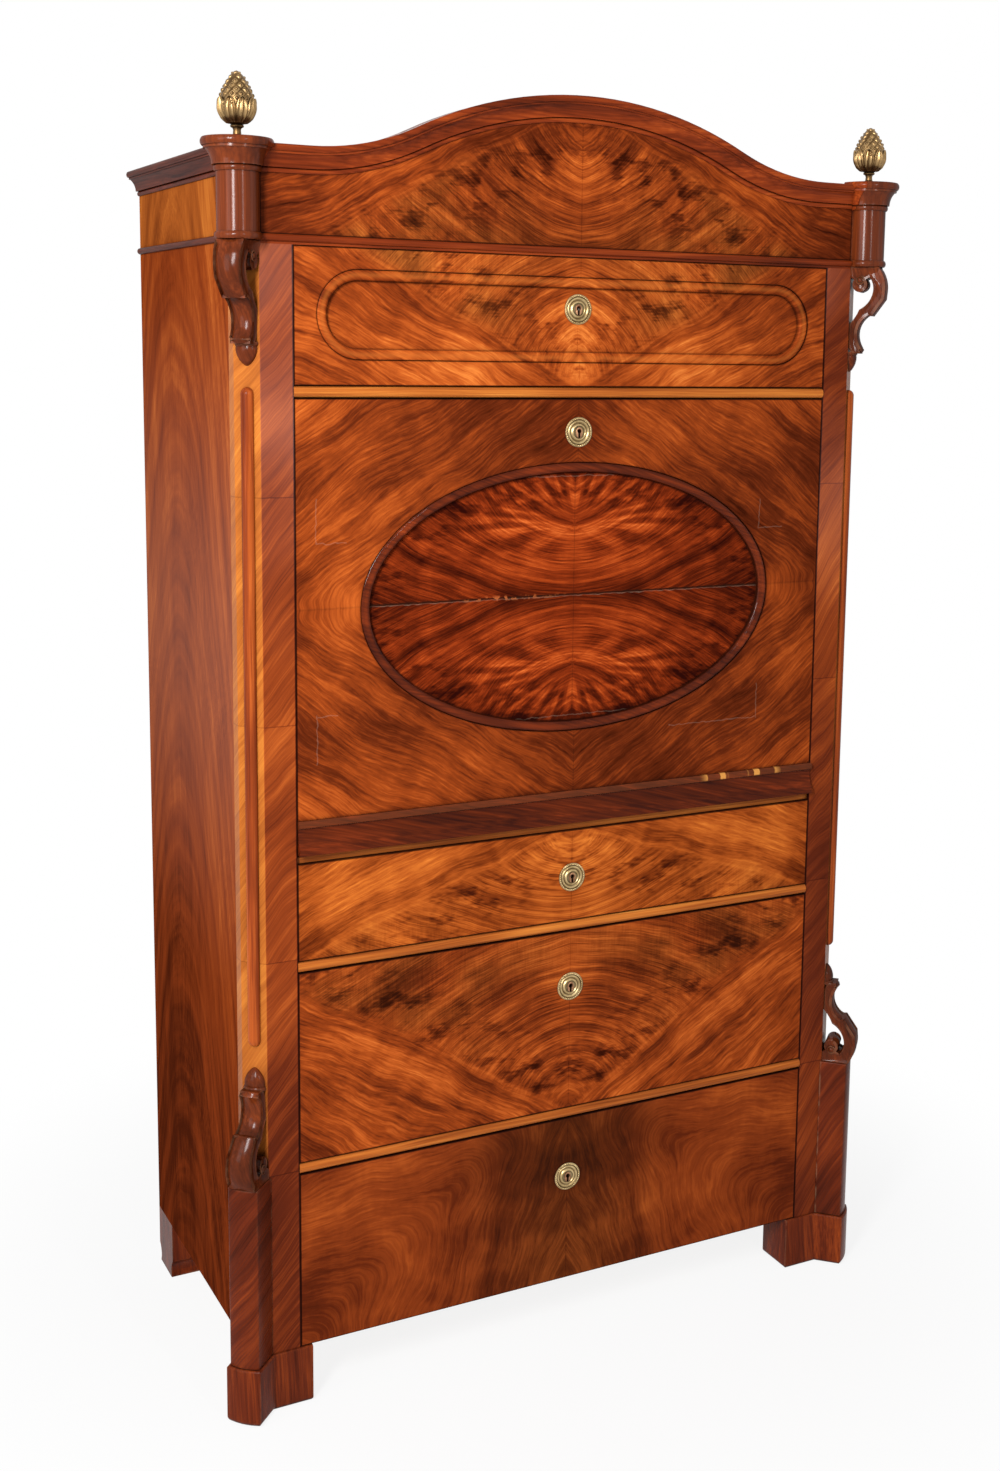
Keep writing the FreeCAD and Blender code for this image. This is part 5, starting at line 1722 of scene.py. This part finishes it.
FrontFinish = Union[FlameVeneer, FallVeneer, SwirlVeneer]
Finish = Union[StraightGrain, FrontFinish, RakedVeneer, CastMetal, DeskLeather]
FRONT_VENEERS: tuple[FrontFinish, ...] = (
    FlameVeneer(
        name="flame_pediment", node="pediment_front", seed=3.0, lift=-0.12, eye_z=1.655, vertex_z=1.728,
        sweep=Sweep.UP, slope=0.50, stretch=0.95, bend=1.12, feather=0.45, point=0.26,
    ),
    FlameVeneer(
        name="flame_top", node="top_drawer_front", shared=("top_drawer_moulding",), seed=11.0, lift=0.09,
        ring=STADIUM, eye_z=1.425, vertex_z=1.358, sweep=Sweep.DOWN, slope=0.54, stretch=1.15, bend=0.92,
        feather=0.40, right_shade=0.07,
    ),
    FlameVeneer(
        name="flame_upper", node="upper_drawer_front", tone=Tone.GOLDEN, seed=19.0, lift=-0.05, olive=0.30,
        eye_z=0.715, vertex_z=0.752, sweep=Sweep.UP, slope=0.34, stretch=0.62, bend=1.02, feather=0.42,
    ),
    FlameVeneer(
        name="flame_middle", node="middle_drawer_front", seed=27.0, lift=-0.03, olive=0.45, eye_z=0.420,
        vertex_z=0.335, sweep=Sweep.DOWN, slope=0.62, stretch=0.80, bend=1.08, feather=0.42,
    ),
    FallVeneer(name="flame_fall", node="fall_panel", seed=35.0, lift=-0.08, ring=FALL_OVAL),
    SwirlVeneer(
        name="flame_bottom", node="bottom_drawer_front", tone=Tone.BROWN, seed=43.0, lift=-0.04, olive=0.50,
    ),
)
FINE_MOULDING = {"tone": Tone.DARK, "fine": 320.0, "broad": 45.0}
PINE = {"tone": Tone.PINE, "lean": 0.01, "fine": 260.0, "broad": 30.0, "drift": 0.012, "polish": MATT}
MAPLE = {"tone": Tone.MAPLE, "lean": 0.02, "broad": 34.0, "polish": SILKY}
DRAWER_PINE = DovetailedPine("drawer_pine", along=Axis.Y, contrast=1.3, **PINE)
CHOICES: tuple[tuple[Finish, tuple[str, ...]], ...] = (
    *((veneer, (veneer.node, *veneer.shared)) for veneer in FRONT_VENEERS),
    (RakedVeneer("stile_veneer", seed=2.0, cant_x=0.4422), ("left_corner_post", "right_corner_post")),
    (RakedVeneer("pedestal_veneer", joints=(), seed=9.0, lift=-0.02, right_shade=0.18, polish=WORN),
     ("pedestals_eased",)),
    (SideVeneer("side_veneer", Tone.SIDE, Axis.Z, lean=0.03, fine=420.0, broad=26.0, drift=0.028,
                contrast=0.7, polish=Polish(roughness=0.4, specular=0.0)),
     ("left_side_panel", "right_side_panel")),
    (StraightGrain("cornice_wood", along=Axis.X, drift=0.008, lift=0.08, contrast=1.0, **FINE_MOULDING),
     ("pediment_cornice",)),
    (FallMoulding("moulding_wood", Tone.DARK, Axis.X, lean=0.25, lift=-0.24, contrast=1.1),
     ("fall_base_moulding",)),
    (StraightGrain("side_moulding", along=Axis.Y, drift=0.008, lift=-0.30, **FINE_MOULDING,
                   polish=Polish(roughness=0.35, specular=0.02)), ("side_mouldings",)),
    (StraightGrain("column_wood", Tone.CARVED, Axis.Z, lean=0.02, broad=50.0, drift=0.006, lift=-0.13,
                   contrast=0.5, polish=replace(SATIN, coat=0.28)), ("corner_columns",)),
    (StraightGrain("nosing_wood", Tone.NOSING, Axis.X, fine=420.0, broad=60.0, drift=0.003, contrast=1.2),
     ("drawer_rails",)),
    (RingWood("ring_wood", Tone.DARK, Axis.X, lean=0.3, lift=-0.24,
              polish=Polish(roughness=0.40, specular=0.0, coat=0.16, coat_roughness=0.12)),
     ("fall_oval_moulding",)),
    (StraightGrain("bead_wood", along=Axis.X, drift=0.004, lift=0.06, **FINE_MOULDING), ("frieze_shelf",)),
    (StraightGrain("carved_wood", Tone.CARVED, Axis.Z, lean=0.4, drift=0.012, lift=-0.16, contrast=0.7,
                   polish=SATIN), ("upper_consoles_carved", "lower_consoles_carved")),
    (StraightGrain("rod_wood", Tone.STILE, Axis.Z, fine=380.0, broad=60.0, drift=0.003, lift=0.10),
     ("corner_rods",)),
    (StraightGrain("foot_wood", Tone.STILE, Axis.Z, lean=0.08, fine=360.0, broad=45.0, lift=-0.20,
                   contrast=0.8, polish=WORN), ("rear_feet", "front_feet_eased")),
    (StraightGrain("pine_across", along=Axis.X, **PINE), ("bottom_board", "top_board", "upper_shelf")),
    (StraightGrain("pine_back", along=Axis.Y, **PINE), ("drawer_runners",)),
    (BackBoards("pine_upright", along=Axis.Z, lift=-0.12, **PINE), ("back_boards",)),
    (DRAWER_PINE, tuple(f"{name}_drawer_box" for name in ("top", "upper", "middle", "bottom"))),
    (replace(DRAWER_PINE, name="pediment_pine", half=0.4395, front_y=-0.189), ("pediment_box",)),
    (StraightGrain("maple_across", along=Axis.X, contrast=0.8, **MAPLE), ("writing_bed", "stage_shelves")),
    (StraightGrain("maple_side", along=Axis.Y, lift=-0.04, contrast=0.8, **MAPLE),
     ("compartment_linings", "stage_uprights")),
    (SmallDrawerWood("small_drawer_maple", along=Axis.X, lift=0.04, **MAPLE), SMALL_DRAWERS),
    (DeskLeather(), ("writing_leather",)),
    (CastMetal("lock_iron", (0.30, 0.28, 0.26), (0.10, 0.085, 0.07), 0.42, 320.0),
     tuple(f"{front}_lock" for front in LOCKED)),
    (CastMetal("bolt_steel", (0.52, 0.50, 0.47), (0.26, 0.23, 0.20), 0.30, 320.0),
     ("pivot_pins", *(f"{front}_bolt" for front in LOCKED))),
)


class Finishes:
    """Every finish as a material, by the CAD node or carved piece that takes it."""

    def __init__(self) -> None:
        """Make the materials."""
        self.taken: dict[str, Material] = {}
        for finish, names in CHOICES:
            self.taken.update(dict.fromkeys(names, finish.material()))

    def dress(self, node: str, item: Object) -> None:
        """Give a CAD node its finish in every slot; a node that a new piece stands for has none.

        Args:
            node: the node's name.
            item: its object.
        """
        if node not in self.taken:
            return
        if not item.material_slots:
            item.data.materials.append(self.taken[node])
        for slot in item.material_slots:
            slot.material = self.taken[node]
        LOG.info("%s is finished in %s", node, self.taken[node].name)


@dataclass(frozen=True)
class Lamp:
    """One soft rectangular lamp: where it stands, the point it faces, its size and its watts."""

    name: str
    place: tuple[float, float, float]
    size: tuple[float, float]
    power: float
    aim: tuple[float, float, float] = (0.0, -0.2, 0.95)

    def build(self) -> None:
        """Set the lamp up."""
        data = bpy.data.lights.new(self.name, "AREA")
        data.shape = "RECTANGLE"
        data.size, data.size_y = self.size
        data.energy = self.power
        item = link(self.name, data)
        item.location = self.place
        item.rotation_euler = (Vector(self.aim) - Vector(self.place)).to_track_quat("-Z", "Y").to_euler()


@dataclass
class Studio:
    """White floor and sky, soft lamps and the camera of the photograph."""

    camera_at: tuple[float, float, float] = (-1.12693, -2.31742, 1.40758)
    yaw: float = math.radians(28.32367)
    pitch: float = math.radians(8.32018)
    roll: float = math.radians(0.91641)
    focal_px: float = 1768.53
    centre_px: tuple[float, float] = (581.854, 608.587)
    frame_px: tuple[int, int] = (1000, 1471)
    sky: float = 0.26
    floor_radius: float = 6.0
    floor_paint: Colour = (0.80, 0.80, 0.80)
    fade: tuple[float, float] = (0.45, 1.15)
    least_white: float = 0.86
    lamps: tuple[Lamp, ...] = (
        Lamp("main_lamp", (-1.9, -1.9, 2.1), (0.45, 1.1), 92.0),
        Lamp("front_lamp", (0.05, -3.4, 2.0), (0.10, 1.2), 16.0),
        Lamp("left_lamp", (-3.3, -1.3, 1.7), (1.2, 2.2), 29.0, aim=(-0.4, -0.1, 0.9)),
        Lamp("right_lamp", (3.0, -2.2, 1.6), (1.0, 1.6), 4.0),
    )

    def camera(self) -> None:
        """The camera, from the fitted viewpoint of the photograph."""
        flat = math.cos(self.pitch)
        ahead = Vector((math.sin(self.yaw) * flat, math.cos(self.yaw) * flat, -math.sin(self.pitch)))
        level = Vector((math.cos(self.yaw), -math.sin(self.yaw), 0.0))
        upright = level.cross(ahead)
        right = level * math.cos(self.roll) + upright * math.sin(self.roll)
        up = upright * math.cos(self.roll) - level * math.sin(self.roll)
        data = bpy.data.cameras.new("camera")
        width, height = self.frame_px
        data.sensor_fit = "AUTO"
        data.sensor_width = 36.0
        data.lens = self.focal_px * data.sensor_width / height
        data.shift_x = (width / 2 - self.centre_px[0]) / height
        data.shift_y = (self.centre_px[1] - height / 2) / height
        item = link("camera", data)
        turn = Matrix((right, up, -ahead)).transposed()
        item.matrix_world = Matrix.Translation(self.camera_at) @ turn.to_4x4()
        bpy.context.scene.camera = item

    def seen_directly(self, tree: Tree) -> Value:
        """Which rays show the background itself: those from the camera, a mirror or glass.

        Args:
            tree: the tree.

        Returns:
            1 for such a ray, 0 for another.
        """
        kinds = ("Camera", "Glossy", "Transmission")
        first, *others = (tree.value("LightPath", f"Is {kind} Ray", {}) for kind in kinds)
        return first.most(*others)

    def world(self) -> None:
        """A white sky that lights the piece gently."""
        world = bpy.context.scene.world = bpy.data.worlds.new("sky")
        world.use_nodes = True
        tree = Tree(world.node_tree)
        soft, white = (
            tree.node("Background", {"Color": (1.0, 1.0, 1.0), "Strength": strength}).outputs[0]
            for strength in (self.sky, 1.0)
        )
        mix = tree.node("MixShader", {0: self.seen_directly(tree), 1: soft, 2: white})
        tree.node("OutputWorld", {"Surface": mix.outputs[0]})

    def floor(self) -> None:
        """A white floor that keeps a soft shadow and fades into the white sky."""
        deselect()
        bpy.ops.mesh.primitive_circle_add(
            vertices=96, radius=self.floor_radius, fill_type="NGON", location=ORIGIN
        )
        item = bpy.context.object
        item.name = "floor"
        material = bpy.data.materials.new("white_floor")
        material.use_nodes = True
        tree = Tree(material.node_tree)
        place = tree.node("TexCoord").outputs["Object"]
        far = tree.value("VectorMath", "Value", {0: place}, operation="LENGTH")
        white = far.step(*self.fade) * (1.0 - self.least_white) + self.least_white
        paint = tree.node("BsdfDiffuse", {"Color": self.floor_paint}).outputs[0]
        glow = tree.node("Emission", {"Strength": 1.0}).outputs[0]
        mix = tree.node("MixShader", {0: white * self.seen_directly(tree), 1: paint, 2: glow})
        tree.node("OutputMaterial", {"Surface": mix.outputs[0]})
        item.data.materials.append(material)

    def build(self) -> None:
        """Set up the camera, sky, floor and lamps."""
        self.camera()
        self.world()
        self.floor()
        for lamp in self.lamps:
            lamp.build()
        bpy.context.scene.view_settings.view_transform = "Standard"


class Secretary:
    """The whole piece: dressed CAD nodes and the finer pieces made here."""

    def __init__(self) -> None:
        """Make the finishes."""
        self.finishes = Finishes()

    def build(self) -> None:
        """Make and dress the whole piece."""
        taken = self.finishes.taken
        for name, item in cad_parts.items():
            self.finishes.dress(name, item)
        ScrollConsole("upper_consoles", hangs=True).build(taken["upper_consoles_carved"])
        ScrollConsole("lower_consoles", hangs=False).build(taken["lower_consoles_carved"])
        CarvedWork("pedestals", "post_veneer").build(taken["pedestals_eased"])
        CarvedWork("front_feet", "mahogany").build(taken["front_feet_eased"])
        PineConeFinial().build()
        Escutcheon().build()


def main() -> None:
    """Build the piece and its studio."""
    logging.basicConfig(level=logging.INFO)
    deselect()
    Secretary().build()
    Studio().build()


if __name__ == "__main__":
    main()
